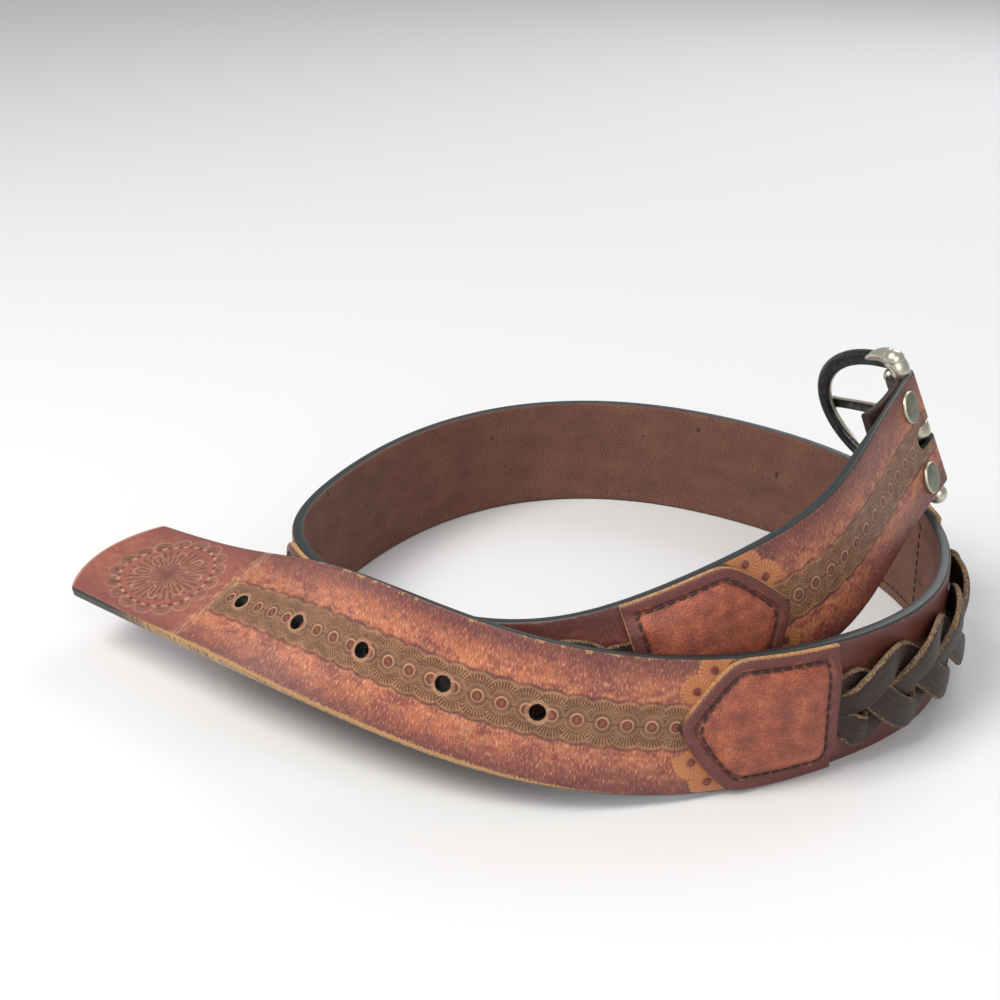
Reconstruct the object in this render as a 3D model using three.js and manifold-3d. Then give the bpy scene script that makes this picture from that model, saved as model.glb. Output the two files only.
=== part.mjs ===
// Western tooled belt lying in a loose loop on its lower edge, its buckle end resting on the
// top edge of the loop. Millimetres, +Z up. The origin is below the middle of the bounding box.
//
// The pieces are laid out flat first: "along" runs from the tip to the fold at the buckle,
// "across" from the lower edge to the top edge, and "out" away from the middle of the leather
// towards the tooled face. One path then carries them all into the shape of the lying strap.

import * as THREE from 'three';
import { mergeVertices } from 'three/addons/utils/BufferGeometryUtils.js';
import Module from 'manifold-3d';

// Strap leather
const STRAP_WIDTH = 38;
const STRAP_THICKNESS = 3.6;
const EDGE_BEVEL = 0.7;
const TIP_ARC_RISE = 7.5;
const SECTION_SPACING = 7;

// The loop that the strap lies in, across the middle of the leather
const LOOP_WIDTH = 194;
const LOOP_DEPTH = 193;

// Punched holes
const HOLE_COUNT = 5;
const HOLE_PITCH = 25.4;
const HOLE_DIAMETER = 4.5;
const TIP_TO_FIRST_HOLE = 67;

// Sewn patches that cover the ends of the braids
const PATCH_LENGTH = 44;
const PATCH_POINT = 15;
const PATCH_LEATHER = 1.8;
const PATCH_EDGE_INSET = 0.3;
const POCKET_SLOPE = 6;

// Braided thongs
const BRAID_LENGTH = 95;
const THONG_WIDTH = 5.8;
const THONG_THICKNESS = 1.8;
const THONG_SEWN_IN = 9;
const BRAID_HALF_WIDTH = 7.8;
const BRAID_TWIST_LENGTH = 56;
const THONGS_PER_BRAID = 3;

// Where the patches sit: two point towards the tip half, two towards the buckle half
const TIP_TO_FRONT_PATCH = 206;
const FOLD_TO_BUCKLE_PATCH = 96;

// Fold round the buckle's bar
const FOLD_LEATHER = 2.2;
const SKIVE_LENGTH = 26;
const FLAP_LENGTH = 24;
const FLAP_FLARE = 3.5;
const FOLD_PINCH_ANGLE = 50;
const SLOT_WIDTH = 6.4;
const SLOT_DEPTH = 10;

// Snaps through strap and flap
const SNAP_DIAMETER = 9.8;
const SNAP_CAP_HEIGHT = 1.7;
const SNAP_POST_DIAMETER = 2.8;
const SNAP_BUTTON_DIAMETER = 5.6;
const SNAP_BUTTON_HEIGHT = 1;
const SNAP_SPACING = 24;
const FOLD_TO_SNAPS = 13.6;

// Buckle
const BAR_DIAMETER = 3.8;
const FRAME_INNER_WIDTH = 40;
const FRAME_BAND = 4.8;
const FRAME_THICKNESS = 3.4;
const FRAME_REACH = 50;
const FRAME_ARM_LENGTH = 8;
const FRAME_ANGLE = 58;
const FRAME_SIDE_PLAY = 0.7;
const KNUCKLE_DIAMETER = 6.4;
const TONGUE_WIDTH = 4.6;
const TONGUE_THICKNESS = 2.2;
const TONGUE_ARCH = 1.6;

// Running gap between pieces that touch on the real belt
const GAP = 0.3;

// How far cutters run past the faces that they cut
const CUT_PAST = 2.5;

// How the strap lies. x and y are shares of the loop's width and depth from the loop's middle,
// lift is the height of the lower edge as a share of the strap's width, and lean is how far the
// strap leans from upright, in degrees: negative turns the tooled face up.
const LIE = [
  { x: -0.820, y: 0.011, lift: 0.47, lean: -80 },
  { x: -0.644, y: -0.138, lift: 0.46, lean: -74 },
  { x: -0.488, y: -0.291, lift: 0.48, lean: -52 },
  { x: -0.334, y: -0.435, lift: 0.41, lean: -27 },
  { x: -0.141, y: -0.513, lift: 0.20, lean: -18 },
  { x: 0.076, y: -0.492, lift: 0, lean: -9 },
  { x: 0.273, y: -0.421, lift: 0, lean: 1 },
  { x: 0.436, y: -0.301, lift: 0, lean: 0 },
  { x: 0.510, y: -0.118, lift: 0, lean: -3 },
  { x: 0.497, y: 0.085, lift: 0, lean: 0 },
  { x: 0.403, y: 0.271, lift: 0, lean: 0 },
  { x: 0.245, y: 0.416, lift: 0, lean: 0 },
  { x: 0.053, y: 0.511, lift: 0, lean: 0 },
  { x: -0.159, y: 0.498, lift: 0, lean: 0 },
  { x: -0.337, y: 0.367, lift: 0, lean: 0 },
  { x: -0.456, y: 0.169, lift: 0, lean: 0 },
  { x: -0.532, y: -0.058, lift: 0, lean: -1 },
  { x: -0.430, y: -0.232, lift: 0, lean: -4 },
  { x: -0.254, y: -0.376, lift: 0, lean: -8 },
  { x: -0.068, y: -0.441, lift: 0.16, lean: -12 },
  { x: 0.130, y: -0.398, lift: 0.52, lean: -14 },
  { x: 0.299, y: -0.294, lift: 0.75, lean: -13 },
  { x: 0.391, y: -0.126, lift: 1.055, lean: -15 },
  { x: 0.491, y: 0.037, lift: 1.235, lean: -20 },
];

const wasm = await Module();
wasm.setup();

const HALF_WIDTH = STRAP_WIDTH / 2;
const HALF_THICK = STRAP_THICKNESS / 2;
const BAR_RADIUS = BAR_DIAMETER / 2;
const FOLD_INNER_RADIUS = BAR_RADIUS + GAP;
const FOLD_OUTER_RADIUS = FOLD_INNER_RADIUS + FOLD_LEATHER;
const radians = THREE.MathUtils.degToRad;
const smooth = (x) => THREE.MathUtils.smoothstep(x, 0, 1);
const mix = THREE.MathUtils.lerp;

// Path of the strap

// One number read off a smooth curve that the stations draw, at a position counted in stations.
function drawnBy(values, position) {
  const last = values.length - 1;
  const start = Math.min(Math.floor(position), last - 1);
  const f = position - start;
  const value = (index) => {
    if (index < 0) return 2 * values[0] - values[1];
    if (index > last) return 2 * values[last] - values[last - 1];
    return values[index];
  };
  const [a, b, c, d] = [-1, 0, 1, 2].map((step) => value(start + step));
  const near = (1 - f) ** 3 * a + (3 * f ** 3 - 6 * f * f + 4) * b;
  const far = (-3 * f ** 3 + 3 * f * f + 3 * f + 1) * c + f ** 3 * d;
  return (near + far) / 6;
}

// The middle line of the leather, with its length from the tip and its lean at every point.
function layPath() {
  const steps = 40;
  const column = (name) => LIE.map((row) => row[name]);
  const points = [];
  for (let i = 0; i <= (LIE.length - 1) * steps; i += 1) {
    const station = i / steps;
    const lean = radians(drawnBy(column('lean'), station));
    const lift = drawnBy(column('lift'), station) * STRAP_WIDTH;
    const height = lift + HALF_WIDTH * Math.cos(lean) + HALF_THICK * Math.abs(Math.sin(lean));
    const x = drawnBy(column('x'), station) * LOOP_WIDTH;
    const y = drawnBy(column('y'), station) * LOOP_DEPTH;
    points.push({ at: new THREE.Vector3(x, y, height), lean, along: 0 });
  }
  for (let i = 1; i < points.length; i += 1) {
    points[i].along = points[i - 1].along + points[i].at.distanceTo(points[i - 1].at);
  }
  return points;
}

const PATH = layPath();
const STRAP_LENGTH = PATH[PATH.length - 1].along;
const BAR_ALONG = STRAP_LENGTH - FOLD_OUTER_RADIUS;
const BAR_OUT = HALF_THICK - FOLD_OUTER_RADIUS;

// Point and directions of the strap at one length from the tip. It runs straight past both ends.
function frameAt(along) {
  const clamped = THREE.MathUtils.clamp(along, 0, STRAP_LENGTH);
  let i = 1;
  while (i < PATH.length - 1 && PATH[i].along < clamped) i += 1;
  const [a, b] = [PATH[i - 1], PATH[i]];
  const before = PATH[Math.max(i - 2, 0)];
  const after = PATH[Math.min(i + 1, PATH.length - 1)];
  const f = (clamped - a.along) / (b.along - a.along);
  const startTangent = b.at.clone().sub(before.at).normalize();
  const endTangent = after.at.clone().sub(a.at).normalize();
  const tangent = startTangent.lerp(endTangent, f).normalize();
  const lean = mix(a.lean, b.lean, f);
  const side = new THREE.Vector3().crossVectors(tangent, new THREE.Vector3(0, 0, 1)).normalize();
  const up = new THREE.Vector3().crossVectors(side, tangent);
  const across = up.multiplyScalar(Math.cos(lean)).addScaledVector(side, Math.sin(lean));
  const out = new THREE.Vector3().crossVectors(tangent, across);
  const at = a.at.clone().lerp(b.at, f).addScaledVector(tangent, along - clamped);
  return { at, tangent, across, out };
}

// A point of the flat layout carried onto the lying strap.
function place(along, across, out) {
  const frame = frameAt(along);
  return frame.at.addScaledVector(frame.across, across).addScaledVector(frame.out, out);
}

// Rigid placing for hard pieces and cutters: X along, Y across, Z out.
function rigidAt(along, across, out) {
  const frame = frameAt(along);
  const matrix = new THREE.Matrix4().makeBasis(frame.tangent, frame.across, frame.out);
  return matrix.setPosition(place(along, across, out));
}

// Solids

// Closed solid through rings of points; each ring runs anticlockwise seen from the last ring.
function skin(rings) {
  const count = rings[0].length;
  const positions = rings.flat().flatMap((p) => [p.x, p.y, p.z]);
  const index = [];
  for (let r = 0; r < rings.length - 1; r += 1) {
    for (let k = 0; k < count; k += 1) {
      const [a, b] = [r * count + k, r * count + ((k + 1) % count)];
      index.push(a, b, b + count, a, b + count, a + count);
    }
  }
  const end = (rings.length - 1) * count;
  for (let k = 1; k < count - 1; k += 1) {
    index.push(0, k + 1, k, end, end + k, end + k + 1);
  }
  const geometry = new THREE.BufferGeometry();
  geometry.setAttribute('position', new THREE.Float32BufferAttribute(positions, 3));
  geometry.setIndex(index);
  return geometry;
}

function solid(geometry) {
  geometry.deleteAttribute('normal');
  geometry.deleteAttribute('uv');
  const merged = mergeVertices(geometry, 1e-5);
  const vertProperties = new Float32Array(merged.attributes.position.array);
  const triVerts = new Uint32Array(merged.index.array);
  return new wasm.Manifold(new wasm.Mesh({ numProp: 3, vertProperties, triVerts }));
}

function surface(manifold) {
  const mesh = manifold.getMesh();
  const geometry = new THREE.BufferGeometry();
  geometry.setAttribute('position', new THREE.BufferAttribute(mesh.vertProperties, 3));
  geometry.setIndex(new THREE.BufferAttribute(mesh.triVerts, 1));
  return geometry;
}

// Flat bar section with bevelled corners, as offsets (sideways, up) round its middle.
function bevelledSection(width, height, bevel) {
  const [w, h] = [width / 2, height / 2];
  return [
    [-w, -h + bevel], [-w + bevel, -h], [w - bevel, -h], [w, -h + bevel],
    [w, h - bevel], [w - bevel, h], [-w + bevel, h], [-w, h - bevel],
  ];
}

// Strap

// How thick the leather is: it is skived thin towards the fold.
function leatherAt(along) {
  const thinned = smooth((along - (BAR_ALONG - FLAP_LENGTH - SKIVE_LENGTH)) / SKIVE_LENGTH);
  return mix(STRAP_THICKNESS, FOLD_LEATHER, thinned);
}

// Rows of the strap's side outline: each holds an outer and an inner point, (along, out).
function sideOutline() {
  const rows = [];
  const count = Math.round(BAR_ALONG / SECTION_SPACING);
  for (let i = 0; i < count; i += 1) {
    const along = (i / count) * BAR_ALONG;
    rows.push([along, HALF_THICK, along, HALF_THICK - leatherAt(along)]);
  }
  const turn = radians(180 + FOLD_PINCH_ANGLE);
  const turnSteps = 14;
  const onFold = (radius, angle) => [
    BAR_ALONG + radius * Math.sin(angle),
    BAR_OUT + radius * Math.cos(angle),
  ];
  for (let i = 0; i <= turnSteps; i += 1) {
    const angle = (i / turnSteps) * turn;
    rows.push([...onFold(FOLD_OUTER_RADIUS, angle), ...onFold(FOLD_INNER_RADIUS, angle)]);
  }
  const [leaveAlong, leaveOut] = onFold(FOLD_INNER_RADIUS, turn);
  const flapFace = HALF_THICK - FOLD_LEATHER - GAP;
  const slope = Math.tan(radians(FOLD_PINCH_ANGLE));
  const meetAlong = leaveAlong - (flapFace - leaveOut) / slope;
  const corner = FOLD_LEATHER * Math.tan(radians(FOLD_PINCH_ANGLE / 2));
  rows.push([meetAlong - corner, flapFace - FOLD_LEATHER, meetAlong, flapFace]);
  const flapEnd = BAR_ALONG - FLAP_LENGTH;
  const flapSteps = 6;
  for (let i = 1; i <= flapSteps; i += 1) {
    const share = i / flapSteps;
    const along = mix(meetAlong - corner, flapEnd, share);
    const flare = FLAP_FLARE * share ** 3;
    rows.push([along, flapFace - FOLD_LEATHER - flare, along, flapFace - flare]);
  }
  return rows;
}

function strapBlank() {
  const rings = sideOutline().map(([outerAlong, outer, innerAlong, inner]) => {
    const thick = Math.hypot(outerAlong - innerAlong, outer - inner);
    const corners = [
      [-HALF_WIDTH, thick - EDGE_BEVEL], [-HALF_WIDTH + EDGE_BEVEL, thick],
      [HALF_WIDTH - EDGE_BEVEL, thick], [HALF_WIDTH, thick - EDGE_BEVEL],
      [HALF_WIDTH, EDGE_BEVEL], [HALF_WIDTH - EDGE_BEVEL, 0],
      [-HALF_WIDTH + EDGE_BEVEL, 0], [-HALF_WIDTH, EDGE_BEVEL],
    ];
    return corners.map(([across, depth]) => {
      const share = depth / thick;
      return place(mix(outerAlong, innerAlong, share), across, mix(outer, inner, share));
    });
  });
  return solid(skin(rings));
}

// Cuts the square tip to a shallow arc.
function tipCutter() {
  const reach = HALF_WIDTH + CUT_PAST;
  const radius = (HALF_WIDTH ** 2 + TIP_ARC_RISE ** 2) / (2 * TIP_ARC_RISE);
  const shape = new THREE.Shape();
  const edge = (across) => radius - Math.sqrt(radius ** 2 - across ** 2);
  const halfSteps = 8;
  shape.moveTo(-CUT_PAST, -reach);
  for (let i = -halfSteps; i <= halfSteps; i += 1) {
    const across = (i / halfSteps) * reach;
    shape.lineTo(edge(across), across);
  }
  shape.lineTo(-CUT_PAST, reach);
  const depth = STRAP_THICKNESS * 3;
  const geometry = new THREE.ExtrudeGeometry(shape, { depth, bevelEnabled: false });
  geometry.translate(0, 0, -depth / 2);
  return solid(geometry.applyMatrix4(rigidAt(0, 0, 0)));
}

function roundCutter(diameter, along, across, from, to) {
  const geometry = new THREE.CylinderGeometry(diameter / 2, diameter / 2, to - from, 16);
  geometry.rotateX(Math.PI / 2);
  geometry.translate(0, 0, (from + to) / 2);
  return solid(geometry.applyMatrix4(rigidAt(along, across, 0)));
}

// Slot across the fold that the tongue turns in, with a round end in both layers.
function tongueSlot() {
  const depth = FOLD_OUTER_RADIUS * 2 + CUT_PAST * 2;
  const start = BAR_ALONG - SLOT_DEPTH;
  const end = BAR_ALONG + FOLD_OUTER_RADIUS + CUT_PAST;
  const shape = new THREE.Shape();
  const radius = SLOT_WIDTH / 2;
  shape.moveTo(end, radius);
  shape.lineTo(start + radius, radius);
  shape.absarc(start + radius, 0, radius, Math.PI / 2, Math.PI * 1.5, false);
  shape.lineTo(end, -radius);
  const options = { depth, bevelEnabled: false, curveSegments: 8 };
  const geometry = new THREE.ExtrudeGeometry(shape, options);
  geometry.translate(-BAR_ALONG, 0, HALF_THICK + CUT_PAST - depth);
  return solid(geometry.applyMatrix4(rigidAt(BAR_ALONG, 0, 0)));
}

const SNAP_ALONG = STRAP_LENGTH - FOLD_TO_SNAPS;
const FLAP_BACK = HALF_THICK - 2 * FOLD_LEATHER - GAP;

function strap() {
  let leather = strapBlank().subtract(tipCutter()).subtract(tongueSlot());
  for (let i = 0; i < HOLE_COUNT; i += 1) {
    const along = TIP_TO_FIRST_HOLE + i * HOLE_PITCH;
    const reach = HALF_THICK + CUT_PAST;
    leather = leather.subtract(roundCutter(HOLE_DIAMETER, along, 0, -reach, reach));
  }
  for (const side of [-1, 1]) {
    const bore = SNAP_POST_DIAMETER + 2 * GAP;
    const across = (side * SNAP_SPACING) / 2;
    const [from, to] = [FLAP_BACK - CUT_PAST, HALF_THICK + CUT_PAST];
    leather = leather.subtract(roundCutter(bore, SNAP_ALONG, across, from, to));
  }
  return surface(leather);
}

// Patches

const PATCH_HALF_WIDTH = HALF_WIDTH - PATCH_EDGE_INSET;
const THONG_SPACING = BRAID_HALF_WIDTH * Math.sin(Math.PI / 1.5);
const POCKET_HALF_WIDTH = THONG_SPACING + THONG_WIDTH / 2 + GAP;
const POCKET_RISE = THONG_THICKNESS + GAP;

// Height of the raised middle of a patch, from its point to its mouth.
function pocketRise(fromPoint, across) {
  const start = PATCH_POINT * 0.4;
  const full = PATCH_LENGTH - THONG_SEWN_IN - 2;
  const lengthwise = smooth((fromPoint - start) / (full - start));
  const crosswise = 1 - smooth((Math.abs(across) - POCKET_HALF_WIDTH) / POCKET_SLOPE);
  return POCKET_RISE * lengthwise * crosswise;
}

// A pentagon of leather whose mouth stands open over the thong ends. Direction is 1 where the
// point is nearer the belt's tip than the mouth, and -1 where it is the other way round.
function patch(pointAlong, direction) {
  const rowPlaces = [0, 0.25, 0.5, 0.75, 1].map((share) => share * PATCH_POINT);
  const bodyRows = 6;
  for (let i = 1; i <= bodyRows; i += 1) {
    rowPlaces.push(mix(PATCH_POINT, PATCH_LENGTH, i / bodyRows));
  }
  const bluntHalf = 0.6;
  const edgeFlat = POCKET_HALF_WIDTH + POCKET_SLOPE;
  const inner = [edgeFlat, mix(edgeFlat, POCKET_HALF_WIDTH, 0.5), POCKET_HALF_WIDTH];
  const shares = [PATCH_HALF_WIDTH, ...inner, POCKET_HALF_WIDTH / 2]
    .map((half) => half / PATCH_HALF_WIDTH);
  const columns = [...shares.map((share) => -share), 0, ...shares.reverse()];
  const rings = rowPlaces.map((fromPoint) => {
    const taper = Math.min(fromPoint / PATCH_POINT, 1);
    const half = mix(bluntHalf, PATCH_HALF_WIDTH, taper);
    const along = pointAlong + direction * fromPoint;
    const base = HALF_THICK + GAP;
    const under = columns.map((share) => {
      const across = share * half;
      return place(along, across, base + pocketRise(fromPoint, across));
    });
    const over = columns.map((share) => {
      const across = share * half;
      return place(along, across, base + PATCH_LEATHER + pocketRise(fromPoint, across));
    });
    return direction > 0 ? [...under, ...over.reverse()] : [...over, ...under.reverse()];
  });
  return patchSkin(rings, columns.length);
}

// Like skin, with the end faces closed by strips between their upper and lower rows.
function patchSkin(rings, columns) {
  const geometry = skin(rings);
  const index = Array.from(geometry.index.array);
  const caps = (rings[0].length - 2) * 2 * 3;
  index.length -= caps;
  const last = (rings.length - 1) * columns * 2;
  const ring = columns * 2;
  for (let k = 0; k < columns - 1; k += 1) {
    const [a, b, c, d] = [k, k + 1, ring - 2 - k, ring - 1 - k];
    index.push(a, c, b, a, d, c);
    index.push(last + a, last + b, last + c, last + a, last + c, last + d);
  }
  geometry.setIndex(index);
  return surface(solid(geometry));
}

// Braids

// One thong of a braid. The three run side by side into the patches and braid between them.
function thong(mouthAlong, number) {
  const start = -THONG_SEWN_IN;
  const end = BRAID_LENGTH + THONG_SEWN_IN;
  const rows = 32;
  const swing = BRAID_HALF_WIDTH;
  const lead = 10;
  const turns = Math.round((BRAID_LENGTH / BRAID_TWIST_LENGTH) * 2) / 2;
  const full = turns * 2 * Math.PI;
  const weave = (THONG_THICKNESS + GAP) * 1.15;
  const base = HALF_THICK + GAP + THONG_THICKNESS / 2;
  const middleOfThong = (at) => {
    const ease = (x) => (x < lead ? (x * x) / (2 * lead) : x - lead / 2);
    const run = BRAID_LENGTH - lead;
    const inside = THREE.MathUtils.clamp(at, 0, BRAID_LENGTH);
    const fromFar = BRAID_LENGTH - inside;
    const travelled = inside < BRAID_LENGTH / 2 ? ease(inside) : run - ease(fromFar);
    const phase = (travelled / run) * full + (number * 2 * Math.PI) / THONGS_PER_BRAID;
    const risen = smooth(Math.min(inside, fromFar) / (lead * 0.9));
    const height = weave * risen * (1 + Math.sin(2 * phase));
    return new THREE.Vector3(at, swing * Math.sin(phase), base + height);
  };
  const section = bevelledSection(THONG_WIDTH, THONG_THICKNESS, THONG_THICKNESS * 0.28);
  const rings = [];
  for (let i = 0; i <= rows; i += 1) {
    const at = mix(start, end, i / rows);
    const middle = middleOfThong(at);
    const ahead = middleOfThong(at + 0.05).sub(middleOfThong(at - 0.05)).normalize();
    const sideways = new THREE.Vector3(0, 0, 1).cross(ahead).normalize();
    const upward = new THREE.Vector3().crossVectors(ahead, sideways);
    rings.push(section.map(([s, u]) => {
      const p = middle.clone().addScaledVector(sideways, s).addScaledVector(upward, u);
      return place(mouthAlong + p.x, p.y, p.z);
    }));
  }
  return skin(rings);
}

// Snap: domed cap, post and back button turned as one piece.
function snap(across) {
  const cap = SNAP_DIAMETER / 2;
  const post = SNAP_POST_DIAMETER / 2;
  const button = SNAP_BUTTON_DIAMETER / 2;
  const capBase = HALF_THICK + GAP;
  const buttonTop = FLAP_BACK - GAP;
  const profile = [
    [0, buttonTop - SNAP_BUTTON_HEIGHT], [button * 0.8, buttonTop - SNAP_BUTTON_HEIGHT],
    [button, buttonTop - SNAP_BUTTON_HEIGHT / 2], [button, buttonTop], [post, buttonTop],
    [post, capBase], [cap, capBase], [cap, capBase + SNAP_CAP_HEIGHT * 0.35],
    [cap * 0.86, capBase + SNAP_CAP_HEIGHT * 0.72], [cap * 0.5, capBase + SNAP_CAP_HEIGHT * 0.94],
    [0, capBase + SNAP_CAP_HEIGHT],
  ].map(([r, h]) => new THREE.Vector2(r, h));
  const geometry = new THREE.LatheGeometry(profile, 18);
  geometry.rotateX(Math.PI / 2);
  return geometry.applyMatrix4(rigidAt(SNAP_ALONG, across, 0));
}

// Buckle

const FRAME_HALF_WIDTH = FRAME_INNER_WIDTH / 2 + FRAME_BAND;

// The buckle's own axes: X reaches from the bar to the bow, Y runs along the bar, Z is its front.
function buckleAxes() {
  const turn = new THREE.Matrix4().makeRotationY(radians(FRAME_ANGLE));
  return rigidAt(BAR_ALONG, 0, BAR_OUT).multiply(turn);
}

// Two straight arms and half an oval, from one end of the bar round the bow to the other.
function bowPoint(share) {
  const halfWidth = FRAME_HALF_WIDTH - FRAME_BAND / 2;
  const armShare = FRAME_ARM_LENGTH / (FRAME_REACH + FRAME_HALF_WIDTH);
  const side = share < 0.5 ? 1 : -1;
  const way = 1 - Math.abs(2 * share - 1);
  if (way < armShare) {
    return new THREE.Vector3((way / armShare) * FRAME_ARM_LENGTH, side * halfWidth, 0);
  }
  const turn = ((way - armShare) / (1 - armShare)) * (Math.PI / 2);
  const past = FRAME_REACH - FRAME_BAND / 2 - FRAME_ARM_LENGTH;
  const x = FRAME_ARM_LENGTH + past * Math.sin(turn);
  return new THREE.Vector3(x, side * halfWidth * Math.cos(turn), 0);
}

function buckleFrame() {
  const steps = 32;
  const section = bevelledSection(FRAME_BAND, FRAME_THICKNESS, FRAME_THICKNESS * 0.25);
  const rings = [];
  for (let i = 0; i <= steps; i += 1) {
    const share = i / steps;
    const middle = bowPoint(share);
    const step = 0.004;
    const ahead = bowPoint(Math.min(share + step, 1)).sub(bowPoint(Math.max(share - step, 0)));
    ahead.normalize();
    const sideways = new THREE.Vector3(0, 0, 1).cross(ahead);
    rings.push(section.map(([s, u]) => new THREE.Vector3(0, 0, u).add(middle)
      .addScaledVector(sideways, s)));
  }
  const span = FRAME_HALF_WIDTH - FRAME_BAND / 2;
  const bar = new THREE.CylinderGeometry(BAR_RADIUS, BAR_RADIUS, span * 2, 20);
  let metal = solid(skin(rings)).add(solid(bar));
  const knuckleOut = span + (KNUCKLE_DIAMETER - FRAME_BAND) / 2;
  for (const side of [-1, 1]) {
    const knuckle = new THREE.SphereGeometry(KNUCKLE_DIAMETER / 2, 16, 10);
    metal = metal.add(solid(knuckle.translate(0, side * knuckleOut, 0)));
  }
  const geometry = surface(metal).translate(0, FRAME_SIDE_PLAY, 0);
  return geometry.applyMatrix4(buckleAxes());
}

// The tongue: an eye round the bar and an arched shank whose end rests on the bow.
function buckleTongue() {
  const eyeInner = BAR_RADIUS + GAP;
  const eyeOuter = FOLD_OUTER_RADIUS - GAP;
  const shape = new THREE.Shape().absarc(0, 0, eyeOuter, 0, Math.PI * 2, false);
  shape.holes.push(new THREE.Path().absarc(0, 0, eyeInner, 0, Math.PI * 2, true));
  const options = { depth: TONGUE_WIDTH, bevelEnabled: false, curveSegments: 8 };
  const eye = new THREE.ExtrudeGeometry(shape, options);
  eye.translate(0, 0, -TONGUE_WIDTH / 2).rotateX(Math.PI / 2);
  const restHeight = FRAME_THICKNESS / 2 + GAP + TONGUE_THICKNESS / 2;
  const startHeight = (eyeInner + eyeOuter) / 2;
  const endX = FRAME_REACH - 1;
  const rows = 12;
  const rings = [];
  for (let i = 0; i <= rows; i += 1) {
    const share = i / rows;
    const width = mix(TONGUE_WIDTH, TONGUE_WIDTH * 0.72, smooth(share * 1.4 - 0.2));
    const arch = TONGUE_ARCH * Math.sin(Math.PI * share);
    const z = mix(startHeight, restHeight, share) + arch;
    const thick = mix(eyeOuter - eyeInner, TONGUE_THICKNESS, smooth(share * 5));
    const section = bevelledSection(width, thick, thick * 0.22);
    rings.push(section.map(([s, u]) => new THREE.Vector3(share * endX, s, z + u)));
  }
  const metal = solid(eye).add(solid(skin(rings)));
  return surface(metal).applyMatrix4(buckleAxes());
}

// Assembly

const belt = new THREE.Group();

function addPiece(name, geometry, color, roughness, metalness) {
  const material = new THREE.MeshStandardMaterial({ color, roughness, metalness });
  const mesh = new THREE.Mesh(geometry, material);
  mesh.name = name;
  belt.add(mesh);
}

const frontMouth = TIP_TO_FRONT_PATCH + PATCH_LENGTH;
const buckleMouth = STRAP_LENGTH - FOLD_TO_BUCKLE_PATCH - PATCH_LENGTH;
const braids = [
  { name: 'front', start: frontMouth },
  { name: 'buckle_end', start: buckleMouth - BRAID_LENGTH },
];

addPiece('strap', strap(), 0x8a4423, 0.55, 0);
for (const braid of braids) {
  const far = braid.start + BRAID_LENGTH;
  addPiece(`patch_${braid.name}_near`, patch(braid.start - PATCH_LENGTH, 1), 0x9a5228, 0.6, 0);
  addPiece(`patch_${braid.name}_far`, patch(far + PATCH_LENGTH, -1), 0x9a5228, 0.6, 0);
  for (let number = 0; number < THONGS_PER_BRAID; number += 1) {
    const geometry = thong(braid.start, number);
    addPiece(`thong_${braid.name}_${number + 1}`, geometry, 0x4a322a, 0.75, 0);
  }
}
addPiece('snap_lower', snap(-SNAP_SPACING / 2), 0x77705c, 0.4, 0.9);
addPiece('snap_upper', snap(SNAP_SPACING / 2), 0x77705c, 0.4, 0.9);
addPiece('buckle_frame', buckleFrame(), 0x3a3a3c, 0.4, 0.9);
addPiece('buckle_tongue', buckleTongue(), 0x55544f, 0.4, 0.9);

const box = new THREE.Box3().setFromObject(belt);
const middle = box.getCenter(new THREE.Vector3());
belt.position.set(-middle.x, -middle.y, -box.min.z);

export default belt;
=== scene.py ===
"""Western tooled belt, lying in a loose loop on the lower edge of its strap.

The strap, patches and thongs are drawn in a flat layout in millimetres: "along" from the tip to
the fold, "across" from the lower to the upper edge, "out" away from the middle of the leather
towards the tooled face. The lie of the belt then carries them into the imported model's frame.
"""

import logging
import math
from dataclasses import dataclass, field
from enum import Enum
from typing import Any, Sequence

import bmesh
import bpy
import numpy as np
from mathutils import Matrix, Vector


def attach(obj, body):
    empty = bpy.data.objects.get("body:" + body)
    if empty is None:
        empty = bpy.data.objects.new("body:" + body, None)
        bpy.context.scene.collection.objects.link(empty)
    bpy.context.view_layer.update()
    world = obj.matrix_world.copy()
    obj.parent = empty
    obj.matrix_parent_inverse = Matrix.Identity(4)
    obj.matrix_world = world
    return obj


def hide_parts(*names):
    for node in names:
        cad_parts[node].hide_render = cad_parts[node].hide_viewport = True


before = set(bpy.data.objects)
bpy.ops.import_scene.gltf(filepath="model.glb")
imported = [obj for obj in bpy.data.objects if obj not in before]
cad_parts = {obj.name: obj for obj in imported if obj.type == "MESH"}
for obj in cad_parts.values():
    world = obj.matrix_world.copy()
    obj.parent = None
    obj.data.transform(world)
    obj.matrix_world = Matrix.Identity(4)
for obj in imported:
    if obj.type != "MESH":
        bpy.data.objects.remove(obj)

LOG = logging.getLogger("belt")
MM = 0.001
Array = np.ndarray
Colour = tuple[float, float, float]
UP = np.array([0.0, 0.0, 1.0])
SHARP_ANGLE = 50.0

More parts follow.
